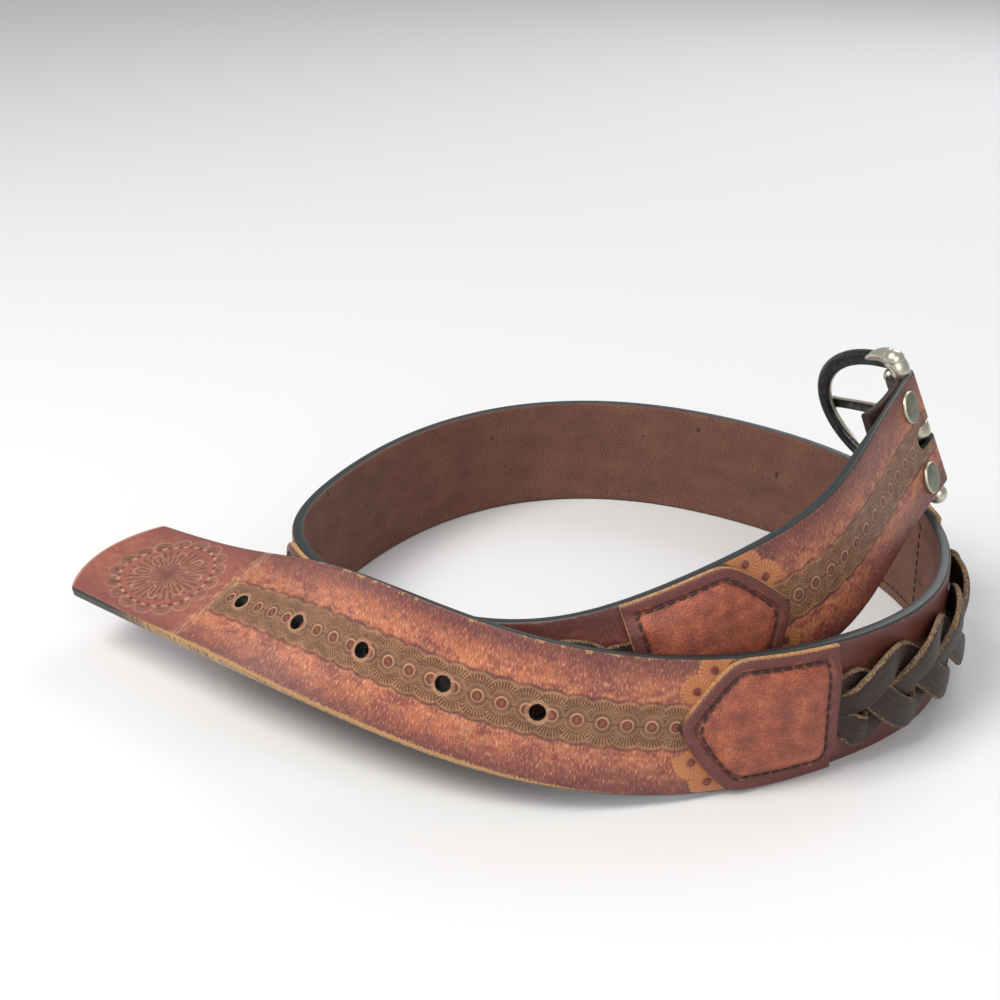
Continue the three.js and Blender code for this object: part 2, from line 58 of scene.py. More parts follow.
# How the strap lies: x and y as shares of the loop, lift as a share of the width, lean in degrees
LIE_TABLE = np.array([
    (-0.820, 0.011, 0.47, -80), (-0.644, -0.138, 0.46, -74), (-0.488, -0.291, 0.48, -52),
    (-0.334, -0.435, 0.41, -27), (-0.141, -0.513, 0.20, -18), (0.076, -0.492, 0, -9),
    (0.273, -0.421, 0, 1), (0.436, -0.301, 0, 0), (0.510, -0.118, 0, -3),
    (0.497, 0.085, 0, 0), (0.403, 0.271, 0, 0), (0.245, 0.416, 0, 0),
    (0.053, 0.511, 0, 0), (-0.159, 0.498, 0, 0), (-0.337, 0.367, 0, 0),
    (-0.456, 0.169, 0, 0), (-0.532, -0.058, 0, -1), (-0.430, -0.232, 0, -4),
    (-0.254, -0.376, 0, -8), (-0.068, -0.441, 0.16, -12), (0.130, -0.398, 0.52, -14),
    (0.299, -0.294, 0.75, -13), (0.391, -0.126, 1.055, -15), (0.491, 0.037, 1.235, -20),
])


class Body(Enum):
    """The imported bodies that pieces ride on."""

    BELT = "belt"
    BUCKLE = "buckle"
    TONGUE = "tongue"


class Slot(Enum):
    """The record's material slots."""

    STRAP = "strap_leather"
    PATCH = "patch_leather"
    THONG = "thong_leather"
    SNAP = "snap_metal"
    BUCKLE = "buckle_metal"
    TONGUE = "tongue_metal"


def srgb(red: int, green: int, blue: int) -> Colour:
    """Linear colour of an ordinary 0 to 255 screen colour.

    Args:
        red: red, 0 to 255.
        green: green, 0 to 255.
        blue: blue, 0 to 255.

    Returns:
        The three linear shares.
    """
    shares = [value / 255 for value in (red, green, blue)]
    linear = [s / 12.92 if s <= 0.04045 else ((s + 0.055) / 1.055) ** 2.4 for s in shares]
    return (linear[0], linear[1], linear[2])


def smooth(x: Array | float) -> Array:
    """Smooth step from 0 to 1 over x from 0 to 1."""
    x = np.clip(x, 0, 1)
    return x * x * (3 - 2 * x)


def unit(vectors: Array) -> Array:
    """Vectors brought to length 1."""
    return vectors / np.linalg.norm(vectors, axis=-1, keepdims=True)


def full_turn(steps: int) -> Array:
    """Angles that share a full turn evenly."""
    return np.linspace(0, 2 * math.pi, steps, endpoint=False)


# The lie of the belt


@dataclass
class Lie:
    """The line that the middle of the leather follows, and its directions."""

    width: float = 38.0
    thickness: float = 3.6
    loop_width: float = 194.0
    loop_depth: float = 193.0
    steps: int = 40
    middle: tuple[float, float] = (-29.926693, -2.430145)
    points: Array = field(init=False)
    lean: Array = field(init=False)
    along: Array = field(init=False)
    tangents: Array = field(init=False)

    def __post_init__(self) -> None:
        """Works out the path from the table of stations."""
        last = len(LIE_TABLE) - 1
        position = np.arange(last * self.steps + 1) / self.steps
        start = np.minimum(position.astype(int), last - 1)
        f = (position - start)[:, None]
        first = 2 * LIE_TABLE[:1] - LIE_TABLE[1:2]
        after = 2 * LIE_TABLE[-1:] - LIE_TABLE[-2:-1]
        rows = np.vstack([first, LIE_TABLE, after])
        a, b, c, d = (rows[start + k] for k in range(4))
        near = (1 - f) ** 3 * a + (3 * f ** 3 - 6 * f * f + 4) * b
        far = (-3 * f ** 3 + 3 * f * f + 3 * f + 1) * c + f ** 3 * d
        drawn = (near + far) / 6
        self.lean = np.radians(drawn[:, 3])
        height = (drawn[:, 2] * self.width + self.width / 2 * np.cos(self.lean)
                  + self.thickness / 2 * np.abs(np.sin(self.lean)))
        self.points = np.stack(
            [drawn[:, 0] * self.loop_width, drawn[:, 1] * self.loop_depth, height], axis=1)
        steps = np.linalg.norm(np.diff(self.points, axis=0), axis=1)
        self.along = np.concatenate([[0], np.cumsum(steps)])
        ends = np.arange(len(self.points))
        ahead = self.points[np.minimum(ends + 1, len(ends) - 1)]
        self.tangents = unit(ahead - self.points[np.maximum(ends - 1, 0)])

    @property
    def length(self) -> float:
        """Length from the tip to the outside of the fold."""
        return float(self.along[-1])

    def directions(self, along: Array) -> tuple[Array, Array, Array, Array]:
        """Point, tangent, across and out of the strap at lengths from the tip.

        Args:
            along: lengths from the tip, in millimetres.

        Returns:
            The middle points and the three directions, one row each.
        """
        along = np.asarray(along, float)
        clamped = np.clip(along, 0, self.length)

        def pick(table: Array) -> Array:
            """Rows of a table at the lengths asked for."""
            columns = [np.interp(clamped, self.along, table[:, k]) for k in range(3)]
            return np.stack(columns, axis=-1)

        tangent = unit(pick(self.tangents))
        at = pick(self.points) + tangent * (along - clamped)[..., None]
        lean = np.interp(clamped, self.along, self.lean)[..., None]
        side = unit(np.cross(tangent, UP))
        up = np.cross(side, tangent)
        across = up * np.cos(lean) + side * np.sin(lean)
        return at, tangent, across, np.cross(tangent, across)

    def place(self, along: Array, across: Array, out: Array) -> Array:
        """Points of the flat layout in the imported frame, in metres."""
        along, across, out = np.broadcast_arrays(
            np.asarray(along, float), np.asarray(across, float), np.asarray(out, float))
        at, _, up, outward = self.directions(along)
        points = at + up * across[..., None] + outward * out[..., None]
        points[..., 0] -= self.middle[0]
        points[..., 1] -= self.middle[1]
        return points * MM

    def rigid(self, along: float, across: float, out: float) -> Matrix:
        """Matrix that sets a hard piece, drawn in millimetres, on the strap: X along, Z out."""
        _, tangent, up, outward = (row[0] for row in self.directions(np.array([along])))
        origin = self.place(along, across, out)
        matrix = Matrix.Identity(4)
        for column, direction in enumerate((tangent, up, outward)):
            for row in range(3):
                matrix[row][column] = direction[row] * MM
        matrix.translation = Vector(origin)
        return matrix


LIE = Lie()
HALF_WIDTH = LIE.width / 2
HALF_THICK = LIE.thickness / 2


# Meshes


def linked(name: str, data: Any) -> bpy.types.Object:
    """New object with this data, linked to the scene."""
    result = bpy.data.objects.new(name, data)
    bpy.context.scene.collection.objects.link(result)
    return result


def mesh_object(name: str, points: Array, faces: Sequence[Sequence[int]],
                maps: dict[str, Array] | None = None,
                sharp: float = SHARP_ANGLE) -> bpy.types.Object:
    """Object from points and faces, with UV maps given per point and outward faces.

    Args:
        name: the piece's name.
        points: points in metres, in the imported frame.
        faces: point numbers of each face.
        maps: UV maps by name, one pair of numbers per point.
        sharp: edges that turn by more than this many degrees stay sharp.

    Returns:
        The new object, linked to the scene.
    """
    mesh = bpy.data.meshes.new(name)
    mesh.from_pydata(points.tolist(), [], [list(face) for face in faces])
    corners = np.zeros(len(mesh.loops), int)
    mesh.loops.foreach_get("vertex_index", corners)
    for map_name, values in (maps or {}).items():
        layer = mesh.uv_layers.new(name=map_name)
        layer.data.foreach_set("uv", np.asarray(values, np.float32)[corners].ravel())
    work = bmesh.new()
    work.from_mesh(mesh)
    if work.calc_volume(signed=True) < 0:
        bmesh.ops.reverse_faces(work, faces=work.faces[:])
    work.to_mesh(mesh)
    work.free()
    mesh.polygons.foreach_set("use_smooth", [True] * len(mesh.polygons))
    mesh.set_sharp_from_angle(angle=math.radians(sharp))
    return linked(name, mesh)


def ring_faces(rows: int, count: int, capped: bool = True) -> list[list[int]]:
    """Faces that join closed rings of points, one after another, with flat caps."""
    faces = [
        [r * count + k, r * count + (k + 1) % count, (r + 1) * count + (k + 1) % count,
         (r + 1) * count + k]
        for r in range(rows - 1) for k in range(count)
    ]
    if capped:
        faces.append(list(range(count))[::-1])
        faces.append([(rows - 1) * count + k for k in range(count)])
    return faces


def cap_quads(base: int, inner: int, columns: int, turned: bool) -> list[list[int]]:
    """Faces across the end of a flat ring, from its outer side to its inner side.

    Args:
        base: number of the first point of the outer side.
        inner: number of the first point of the inner side, which runs the other way.
        columns: points across each side.
        turned: whether the faces look the other way.

    Returns:
        The faces.
    """
    quads = [[base + k, base + k + 1, inner + columns - 2 - k, inner + columns - 1 - k]
             for k in range(columns - 1)]
    return [quad[::-1] for quad in quads] if turned else quads


def finished(piece: bpy.types.Object, body: Body, material: bpy.types.Material,
             nodes: Sequence[str] = ()) -> bpy.types.Object:
    """Dresses a piece and hangs it on its body.

    Args:
        piece: the piece, with its place in its mesh.
        body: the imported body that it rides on.
        material: its material.
        nodes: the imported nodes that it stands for.

    Returns:
        The same piece.
    """
    piece.data.materials.clear()
    piece.data.materials.append(material)
    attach(piece, body.value)
    if nodes:
        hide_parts(*nodes)
    LOG.info("%s: %d faces", piece.name, len(piece.data.polygons))
    return piece


def applied(piece: bpy.types.Object, name: str) -> bpy.types.Object:
    """Plain mesh object from what a piece's modifiers make; the source piece is removed."""
    graph = bpy.context.evaluated_depsgraph_get()
    mesh = bpy.data.meshes.new_from_object(piece.evaluated_get(graph), depsgraph=graph)
    bpy.data.objects.remove(piece)
    mesh.name = name
    return linked(name, mesh)


# Shader sums


class Signal:
    """A number in a shader that takes part in Python sums."""

    def __init__(self, graph: "Graph", socket: bpy.types.NodeSocket) -> None:
        """Keeps the socket and the graph that it belongs to."""
        self.graph = graph
        self.socket = socket

    def _math(self, operation: str, *values: "Signal | float") -> "Signal":
        """Result of one Math node."""
        node = self.graph.node("ShaderNodeMath", {"operation": operation},
                               dict(enumerate(values)))
        return Signal(self.graph, node.outputs[0])

    def __add__(self, other: "Signal | float") -> "Signal":
        """Sum."""
        return self._math("ADD", self, other)

    __radd__ = __add__

    def __mul__(self, other: "Signal | float") -> "Signal":
        """Product."""
        return self._math("MULTIPLY", self, other)

    __rmul__ = __mul__

    def __sub__(self, other: "Signal | float") -> "Signal":
        """Difference."""
        return self._math("SUBTRACT", self, other)

    def __rsub__(self, other: "Signal | float") -> "Signal":
        """Difference, the other way round."""
        return self._math("SUBTRACT", other, self)

    def __truediv__(self, other: "Signal | float") -> "Signal":
        """Quotient."""
        return self._math("DIVIDE", self, other)

    def abs(self) -> "Signal":
        """Size without its sign."""
        return self._math("ABSOLUTE", self)

    def sin(self) -> "Signal":
        """Sine of an angle in radians."""
        return self._math("SINE", self)

    def root(self) -> "Signal":
        """Square root."""
        return self._math("SQRT", self)

    def distance(self, other: "Signal") -> "Signal":
        """Distance of the point (self, other) from 0."""
        return (self * self + other * other).root()

    def turn(self, other: "Signal | float") -> "Signal":
        """Angle of the point (other, self)."""
        return self._math("ARCTAN2", self, other)

    def centred(self, pitch: float) -> "Signal":
        """Distance from the middle of the repeat that this falls in."""
        return (self._math("FRACT", self / pitch) - 0.5) * pitch

    def least(self, other: "Signal | float") -> "Signal":
        """The smaller of two."""
        return self._math("MINIMUM", self, other)

    def most(self, other: "Signal | float") -> "Signal":
        """The larger of two."""
        return self._math("MAXIMUM", self, other)

    def rise(self, low: float, high: float) -> "Signal":
        """Smooth 0 to 1 while this goes from low to high, or 1 to 0 where low is above high."""
        swapped = low > high
        start, end = (high, low) if swapped else (low, high)
        node = self.graph.node(
            "ShaderNodeMapRange", {"interpolation_type": "SMOOTHSTEP"},
            {"Value": self, "From Min": start, "From Max": end, "To Min": float(swapped),
             "To Max": float(not swapped)})
        return Signal(self.graph, node.outputs[0])

    def band(self, centre: float, half: float, soft: float) -> "Signal":
        """1 within half of the centre, falling to 0 over soft."""
        return (self - centre).abs().rise(half + soft, half)


class Graph:
    """A material's node tree."""

    def __init__(self, name: str) -> None:
        """Makes a material with an empty tree."""
        self.material = bpy.data.materials.new(name)
        self.material.use_nodes = True
        self.tree = self.material.node_tree
        self.tree.nodes.clear()

    def node(self, kind: str, settings: dict[str, Any] | None = None,
             inputs: dict[Any, Any] | None = None) -> bpy.types.Node:
        """One node, its settings set first and then its inputs.

        Args:
            kind: the node's type.
            settings: its properties.
            inputs: values or links by socket name or number.

        Returns:
            The node.
        """
        made = self.tree.nodes.new(kind)
        for name, value in (settings or {}).items():
            setattr(made, name, value)
        for name, value in (inputs or {}).items():
            target = made.inputs[name]
            if isinstance(value, Signal):
                self.tree.links.new(value.socket, target)
            elif isinstance(value, bpy.types.NodeSocket):
                self.tree.links.new(value, target)
            elif isinstance(value, tuple) and len(value) == 3 and len(target.default_value) == 4:
                target.default_value = (*value, 1.0)
            else:
                target.default_value = value
        return made

    def pair(self, uv_map: str) -> tuple[Signal, Signal]:
        """The two numbers of a UV map."""
        place = self.node("ShaderNodeUVMap", {"uv_map": uv_map})
        split = self.node("ShaderNodeSeparateXYZ", {}, {0: place.outputs[0]})
        return Signal(self, split.outputs[0]), Signal(self, split.outputs[1])

    def vector(self, x: Signal | float, y: Signal | float, z: Signal | float = 0.0) -> Any:
        """Vector socket from three numbers."""
        return self.node("ShaderNodeCombineXYZ", {}, {0: x, 1: y, 2: z}).outputs[0]

    def noise(self, place: Any, scale: float, detail: float, rough: float) -> Signal:
        """Noise, about 0.5 in the middle."""
        made = self.node("ShaderNodeTexNoise", {},
                         {"Vector": place, "Scale": scale, "Detail": detail,
                          "Roughness": rough})
        return Signal(self, made.outputs["Fac"])

    def flat_noise(self, x: Signal, y: Signal, detail: float, rough: float,
                   layer: float = 0.0) -> Signal:
        """Noise over two stretched coordinates of the leather."""
        return self.noise(self.vector(x, y, layer), 1.0, detail, rough)

    def solid_place(self) -> Any:
        """Object coordinates in millimetres."""
        place = self.node("ShaderNodeTexCoord").outputs["Object"]
        scaled = self.node("ShaderNodeVectorMath", {"operation": "SCALE"}, {0: place})
        scaled.inputs["Scale"].default_value = 1 / MM
        return scaled.outputs[0]

    def blend(self, share: Signal | float, first: Any, second: Any) -> Any:
        """Colour between two colours."""
        made = self.node("ShaderNodeMix", {"data_type": "RGBA"},
                         {0: share, 6: first, 7: second})
        return made.outputs[2]

    def finish(self, colour: Any, rough: Any, height: Signal | None = None,
               bump: float = 0.5, reach: float = 0.4, fixed: dict[str, Any] | None = None,
               metal: Any = 0.0) -> bpy.types.Material:
        """Closes the tree with its surface.

        Args:
            colour: base colour.
            rough: roughness.
            height: surface height as a share of reach.
            bump: strength of the bump.
            reach: height of the bump in millimetres.
            fixed: other values of the surface that are the same all over.
            metal: metallic.

        Returns:
            The material.
        """
        inputs = {"Base Color": colour, "Roughness": rough, "Metallic": metal}
        inputs.update(fixed or {})
        if height is not None:
            node = self.node("ShaderNodeBump", {},
                             {"Height": height, "Strength": bump, "Distance": reach * MM})
            inputs["Normal"] = node.outputs[0]
        surface = self.node("ShaderNodeBsdfPrincipled", {}, inputs)
        self.node("ShaderNodeOutputMaterial", {}, {"Surface": surface.outputs[0]})
        return self.material


# Layout shared by the pieces


@dataclass(frozen=True)
class PatchPlace:
    """Where one patch lies: its point, and 1 if the mouth is further from the tip, else -1."""

    name: str
    point: float
    direction: int


@dataclass(frozen=True)
class Layout:
    """Places along the strap, in millimetres from the tip."""

    patch_length: float = 44.0
    patch_point: float = 15.0
    braid_length: float = 95.0
    tip_to_front_patch: float = 206.0
    fold_to_buckle_patch: float = 96.0
    first_hole: float = 67.0
    hole_pitch: float = 25.4
    hole_count: int = 5
    hole_radius: float = 2.25
    tip_arc_rise: float = 7.5
    stitch_inset: float = 3.7
    sewn_in: float = 9.0

    def holes(self) -> list[float]:
        """Middles of the punched holes."""
        return [self.first_hole + i * self.hole_pitch for i in range(self.hole_count)]

    def braids(self) -> dict[str, float]:
        """Start of each braid, at the mouth of its near patch."""
        buckle_mouth = LIE.length - self.fold_to_buckle_patch - self.patch_length
        return {"front": self.tip_to_front_patch + self.patch_length,
                "buckle_end": buckle_mouth - self.braid_length}

    def patches(self) -> list[PatchPlace]:
        """The four patches."""
        found = []
        for name, start in self.braids().items():
            far = start + self.braid_length
            found.append(PatchPlace(f"patch_{name}_near", start - self.patch_length, 1))
            found.append(PatchPlace(f"patch_{name}_far", far + self.patch_length, -1))
        return found


LAYOUT = Layout()


# Finishes


@dataclass(frozen=True)
class StrapFinish:
    """Tooled, antiqued leather with painted edges and a suede inner face."""

    orange: Colour = srgb(178, 101, 67)
    tan: Colour = srgb(208, 146, 108)
    burgundy: Colour = srgb(82, 38, 44)
    brown: Colour = srgb(128, 62, 54)
    olive: Colour = srgb(116, 78, 52)
    groove: Colour = srgb(54, 34, 26)
    ridge: Colour = srgb(178, 130, 90)
    bead: Colour = srgb(126, 62, 50)
    ring: Colour = srgb(206, 154, 118)
    fan: Colour = srgb(192, 124, 74)
    raw: Colour = srgb(206, 160, 108)
    painted: Colour = srgb(32, 36, 35)
    tip: Colour = srgb(136, 76, 66)
    tip_ridge: Colour = srgb(202, 150, 124)
    # painted shade under the braids
    shade_under_braid: Colour = srgb(86, 42, 40)
    crackle: Colour = srgb(234, 184, 142)
    inner: Colour = srgb(82, 50, 42)
    inner_light: Colour = srgb(132, 88, 70)
    inner_dark: Colour = srgb(40, 27, 24)
    flap: Colour = srgb(46, 35, 32)
    # painted sheen on the black edge paint
    edge_sheen: Colour = srgb(70, 76, 73)
    bead_pitch: float = 6.5
    bead_radius: float = 1.45
    fan_radius: float = 6.1
    fan_inner: float = 3.0
    ray_count: float = 38.0
    band_start: float = 56.0
    medallion_middle: float = 31.0
    medallion_length: float = 17.0
    medallion_width: float = 13.6
    rope_twists: float = 27.0
    outer_shells: float = 17.0
    outer_shell_pitch: float = 6.4
    outer_shell_start: float = 0.8
    patch_shell_pitch: float = 7.4
    patch_bead_out: float = 3.4
    crease_at: float = 57.5
    rough_with_depth: float = 0.01

    @staticmethod
    def shells(x: Signal, y: Signal, radius: float, rays: float) -> tuple[Signal, Signal]:
        """A half shell of rays round the point where x and y are 0.

        Args:
            x: distance along the row of shells.
            y: distance out from the row.
            radius: outer radius.
            rays: rays to a full turn.

        Returns:
            Mask of the shell, and its rays from 0 in the grooves to 1 on the ridges.
        """
        r = x.distance(y)
        lines = (x.turn(y) * (rays / 2)).sin().abs().rise(0.15, 0.75)
        rim = r.band(radius - 0.25, 0.2, 0.2) * 0.8
        mask = (r - lines * 0.35).rise(radius, radius - 0.25)
        return mask, lines.most(rim)

    def material(self) -> bpy.types.Material:
        """The strap's material."""
        g = Graph("strap_leather")
        s, t = g.pair("flat")
        depth, side = g.pair("layer")
        outer = side.rise(0.35, 0.15)
        inner = side.rise(0.65, 0.85)
        edge_near = t.abs()

        streak = g.flat_noise(s * 3.4, t * 0.62, 4.0, 0.6)
        hatch = g.flat_noise(s * 2.1, t * 0.34, 3.0, 0.55, 3.0)
        cloud = g.flat_noise(s * 0.085, t * 0.13, 3.0, 0.5)
        grain = g.flat_noise(s * 3.2, t * 3.2, 4.0, 0.6)
        fray = g.flat_noise(s * 1.9, t * 0.22, 4.0, 0.7)
        patchy = g.flat_noise(s * 0.24, t * 0.42, 4.0, 0.6)

        face = g.blend((patchy * 0.6 + cloud * 0.55).rise(0.46, 0.68), self.brown, self.orange)
        face = g.blend((hatch * 0.5 + patchy * 0.6).rise(0.54, 0.74) * 0.7, face, self.tan)
        face = g.blend(streak.rise(0.48, 0.36) * 0.6, face, self.brown)
        smudge = g.flat_noise(s * 0.5, t * 0.3, 4.0, 0.65, 9.0)
        face = g.blend(smudge.rise(0.52, 0.66) * 0.4, face, self.burgundy)
        darker = (edge_near + (fray - 0.5) * 9 + (patchy - 0.5) * 22).rise(9.5, 18.5)
        face = g.blend(darker * 0.8, face, self.burgundy)
        face = g.blend(streak.rise(0.52, 0.68) * (0.62 - darker * 0.42), face, self.crackle)
        # Painted shade: the face is darkened where it lies under the braids
        for start in LAYOUT.braids().values():
            middle = start + LAYOUT.braid_length / 2
            near = s.band(middle, LAYOUT.braid_length / 2, 8.0)
            face = g.blend(near * 0.75, face, self.shade_under_braid)

        # The tooled band: beads on a line, with a shell of rays above and below each
        in_band = s.rise(self.band_start, self.band_start + 1.5)
        cell = s.centred(self.bead_pitch)
        shell, rays = self.shells(cell, edge_near, self.fan_radius, self.ray_count)
        shell = shell * in_band
        r = cell.distance(t)
        ring = r.band(self.bead_radius + 0.15, 0.12, 0.22) * in_band
        bead = r.rise(self.bead_radius, self.bead_radius - 0.35) * in_band
        arc = r.band(self.fan_inner, 0.08, 0.25) * in_band
        chain = edge_near.rise(0.3, 0.05) * r.rise(1.9, 2.3) * in_band
        rays = rays.most(r.rise(self.fan_inner, self.fan_inner - 0.5) * 0.55)
        worn = (grain * 0.5 + patchy * 0.7).rise(0.45, 0.75)
        tooled = g.blend((rays * (0.3 + worn * 0.7)).least(1.0), self.groove, self.ridge)
        tooled = g.blend(0.34, tooled, self.olive)
        tooled = g.blend(r.rise(4.4, 1.6) * 0.3, tooled, self.groove)
        face = g.blend(shell * 0.9, face, tooled)
        gully = (r - self.fan_radius - 0.55).abs().rise(0.7, 0.1) * in_band
        face = g.blend(gully * 0.55, face, self.groove)
        rim = (r - self.fan_radius + 0.1).abs().rise(0.42, 0.05) * in_band
        face = g.blend(rim * worn * 0.35, face, self.ridge)
        face = g.blend(arc * 0.5, face, self.ridge)
        face = g.blend(chain * 0.6, face, self.groove)
        # Painted highlight: the pale ring round each bead is made lighter on its upper side
        above = t.rise(-2.0, 2.0)
        face = g.blend(ring * (0.45 + above * 0.5), face, self.ring)
        face = g.blend(bead, face, self.bead)
        face = g.blend(bead * r.rise(0.9, 0.2) * 0.5, face, self.tan)
        height = 0.5 + shell * (rays - 0.6) * 0.8 + ring * 0.5 + bead * 0.4
        height = height + arc * 0.2 - chain * 0.3 - gully * 0.35

        # The tip's medallion: a border of small beads round a flower, with shells outside it
        u, v = s - self.medallion_middle, t
        long_half, wide_half = self.medallion_length, self.medallion_width
        stretch = long_half / wide_half
        rho = u.distance(v * stretch)
        angle = (v * stretch).turn(u)
        on_tip = s.rise(self.band_start, self.band_start - 1.0)
        wobble = (angle * 3 + 0.7).sin() * 0.5
        away = (rho - long_half) / (stretch * 0.9) + wobble
        rope = away.band(0, 0.42, 0.25) * on_tip
        twist = (angle * self.rope_twists).sin().rise(-0.5, 0.2)
        around = (angle / (2 * math.pi) * self.outer_shells).centred(1.0)
        around = around * self.outer_shell_pitch
        beyond = away - self.outer_shell_start
        outer_shell, outer_rays = self.shells(around, beyond.most(0), 3.3, 34)
        outer_shell = outer_shell * away.rise(0.5, 0.8) * on_tip
        shell_rim = around.distance(beyond)
        outer_rim = shell_rim.band(3.2, 0.12, 0.3) * away.rise(0.5, 0.8) * on_tip
        flower = rho.rise(long_half * 0.88, long_half * 0.8) * on_tip
        share = rho / long_half
        petals = (angle * 4 + 0.4).sin().abs()
        small_petals = (angle * 6 + 0.9).sin().abs()
        loop = (share - (0.3 + petals * 0.48)).abs().rise(0.055, 0.01)
        small_loop = (share - (0.14 + small_petals * 0.28)).abs().rise(0.045, 0.01)
        veins = (angle * 17).sin().abs().rise(0.35, 0.85) * share.rise(0.05, 0.2)
        inner_height = (veins * 0.45).most(loop).most(small_loop)
        face = g.blend(on_tip * (0.62 + (cloud - 0.5) * 0.8), face, self.tip)
        valley = (flower * (1 - inner_height)).most(outer_shell * (1 - outer_rays))
        left = s.rise(26, 12) * outer_shell * 0.35
        face = g.blend(valley * (0.3 + patchy * 0.4) + left, face, self.groove)
        bright = (rope * twist).most(outer_shell * outer_rays * 0.45).most(outer_rim * 0.7)
        bright = bright.most(flower * inner_height * 0.75)
        face = g.blend(bright * (0.25 + worn * 0.45), face, self.tip_ridge)
        face = g.blend(rope * (1 - twist) * 0.6, face, self.groove)
        height = height + rope * twist * 0.6 + outer_shell * (outer_rays - 0.5) * 0.35
        height = height + flower * (inner_height - 0.4) * 0.6 + outer_rim * 0.35

        # Shells and beads that follow the pointed side of each patch
        edge_run = math.hypot(LAYOUT.patch_point, HALF_WIDTH)
        cos_v, sin_v = LAYOUT.patch_point / edge_run, HALF_WIDTH / edge_run
        for patch in LAYOUT.patches():
            ahead = (patch.point - s) * patch.direction
            run = edge_near * sin_v - ahead * cos_v
            off = ahead * sin_v + edge_near * cos_v
            beside = (run + 1.2).centred(self.patch_shell_pitch)
            from_bead = beside.distance(off - self.patch_bead_out)
            shell_v, rays_v = self.shells(beside, off - 2.4, 5.4, 26)
            part = run.rise(6.0, 7.0) * off.rise(0.2, 0.6) * off.rise(9, 8.6)
            shell_v = shell_v * part
            blob = g.blend(rays_v * 0.25 + 0.4 + smudge * 0.6, self.brown, self.fan)
            face = g.blend(shell_v * 0.85, face, blob)
            bead_v = from_bead.rise(1.35, 1.0) * part
            face = g.blend(bead_v, face, self.bead)
            # Painted shade: a dark line on the strap along the pointed edge of each patch, where
            # the patch stands on it
            patch_edge_shade = off.band(0.2, 0.5, 0.7) * ahead.rise(-40, -38)
            face = g.blend(patch_edge_shade * 0.85, face, self.groove)
            height = height + shell_v * (rays_v - 0.5) * 0.4 + bead_v * 0.4

        # Worn crease behind the medallion, and worn rims round the holes
        crease = (s - t * 0.16 + (patchy - 0.5) * 3).band(self.crease_at, 0.5, 2.6)
        crease = crease * hatch.rise(0.44, 0.62)
        face = g.blend(crease * 0.45, face, self.crackle)
        height = height - crease * 0.2
        for hole in LAYOUT.holes():
            gap = (s - hole).distance(t)
            rim_h = gap.band(LAYOUT.hole_radius + 0.5, 0.25, 0.5)
            face = g.blend(rim_h * 0.5, face, self.ring)
            height = height - gap.rise(LAYOUT.hole_radius + 1.6, LAYOUT.hole_radius) * 0.8

        # A thin pale line where the tip's rim is rubbed
        curve = LAYOUT.tip_arc_rise / HALF_WIDTH ** 2
        rubbed_rim = (s - t * t * curve).rise(1.0, 0.4) * grain.rise(0.3, 0.5)
        face = g.blend(rubbed_rim * 0.6, face, self.tip_ridge)

        # Raw fibres along the edges: wide and fuzzy below the tip half, a thin comb above it
        below = t.rise(0.5, -0.5)
        reach = below * s.rise(16, 60) * s.rise(205, 150) * 1.2 + s.rise(40, 70) * 0.45
        reach = reach + (1 - below) * smudge.rise(0.5, 0.6) * s.rise(70, 110) * 1.1
        raw = (edge_near + (fray - 0.5) * 3.4 + reach - HALF_WIDTH).rise(0.0, 0.3)
        raw = raw * s.rise(20, 44) * (0.15 + s.rise(240, 190) * 0.85)
        raw = raw * (0.45 + grain.rise(0.35, 0.6) * 0.55)
        face = g.blend(raw * 0.9, face, self.raw)
        height = height + raw * grain * 0.6

        fuzz = g.flat_noise(s * 1.3, t * 4.0, 5.0, 0.7)
        suede = g.blend((fuzz * 0.9 + cloud * 0.2).rise(0.42, 0.7), self.inner,
                        self.inner_light)
        fleck = (fray * 0.6 + grain * 0.5).rise(0.62, 0.7) * edge_near.rise(10, 18.5)
        suede = g.blend(fleck * 0.45, suede, self.raw)
        stain = g.flat_noise(s * 0.19, t * 0.19, 2.0, 0.5, 7.0).rise(0.71, 0.75)
        suede = g.blend(stain * 0.85, suede, self.inner_dark)

        # Painted sheen: lighter grey-green patches mottled over the black edge paint
        painted = g.blend(grain.rise(0.5, 0.8) * 0.6, self.painted, self.edge_sheen)
        bare = below * s.rise(24, 50) * s.rise(200, 150) * fray.rise(0.4, 0.56)
        painted = g.blend(bare * 0.8, painted, self.raw)
        colour = g.blend(outer, painted, face)
        colour = g.blend(inner, colour, suede)
        flap = s.rise(LIE.length + 8, LIE.length + 12)
        colour = g.blend(flap * 0.85, colour, self.flap)
        rough = 0.4 + inner * 0.42 + raw * outer * 0.35 + (streak - 0.5) * 0.3
        rough = rough + depth * self.rough_with_depth
        height = height * outer + (1 - outer) * 0.5 + (streak - 0.5) * 0.5 * outer
        height = height + (grain - 0.5) * 0.12 + inner * (fuzz - 0.5) * 0.5
        return g.finish(colour, rough, height, bump=0.9, reach=0.5,
                        fixed={"Specular IOR Level": 0.5})


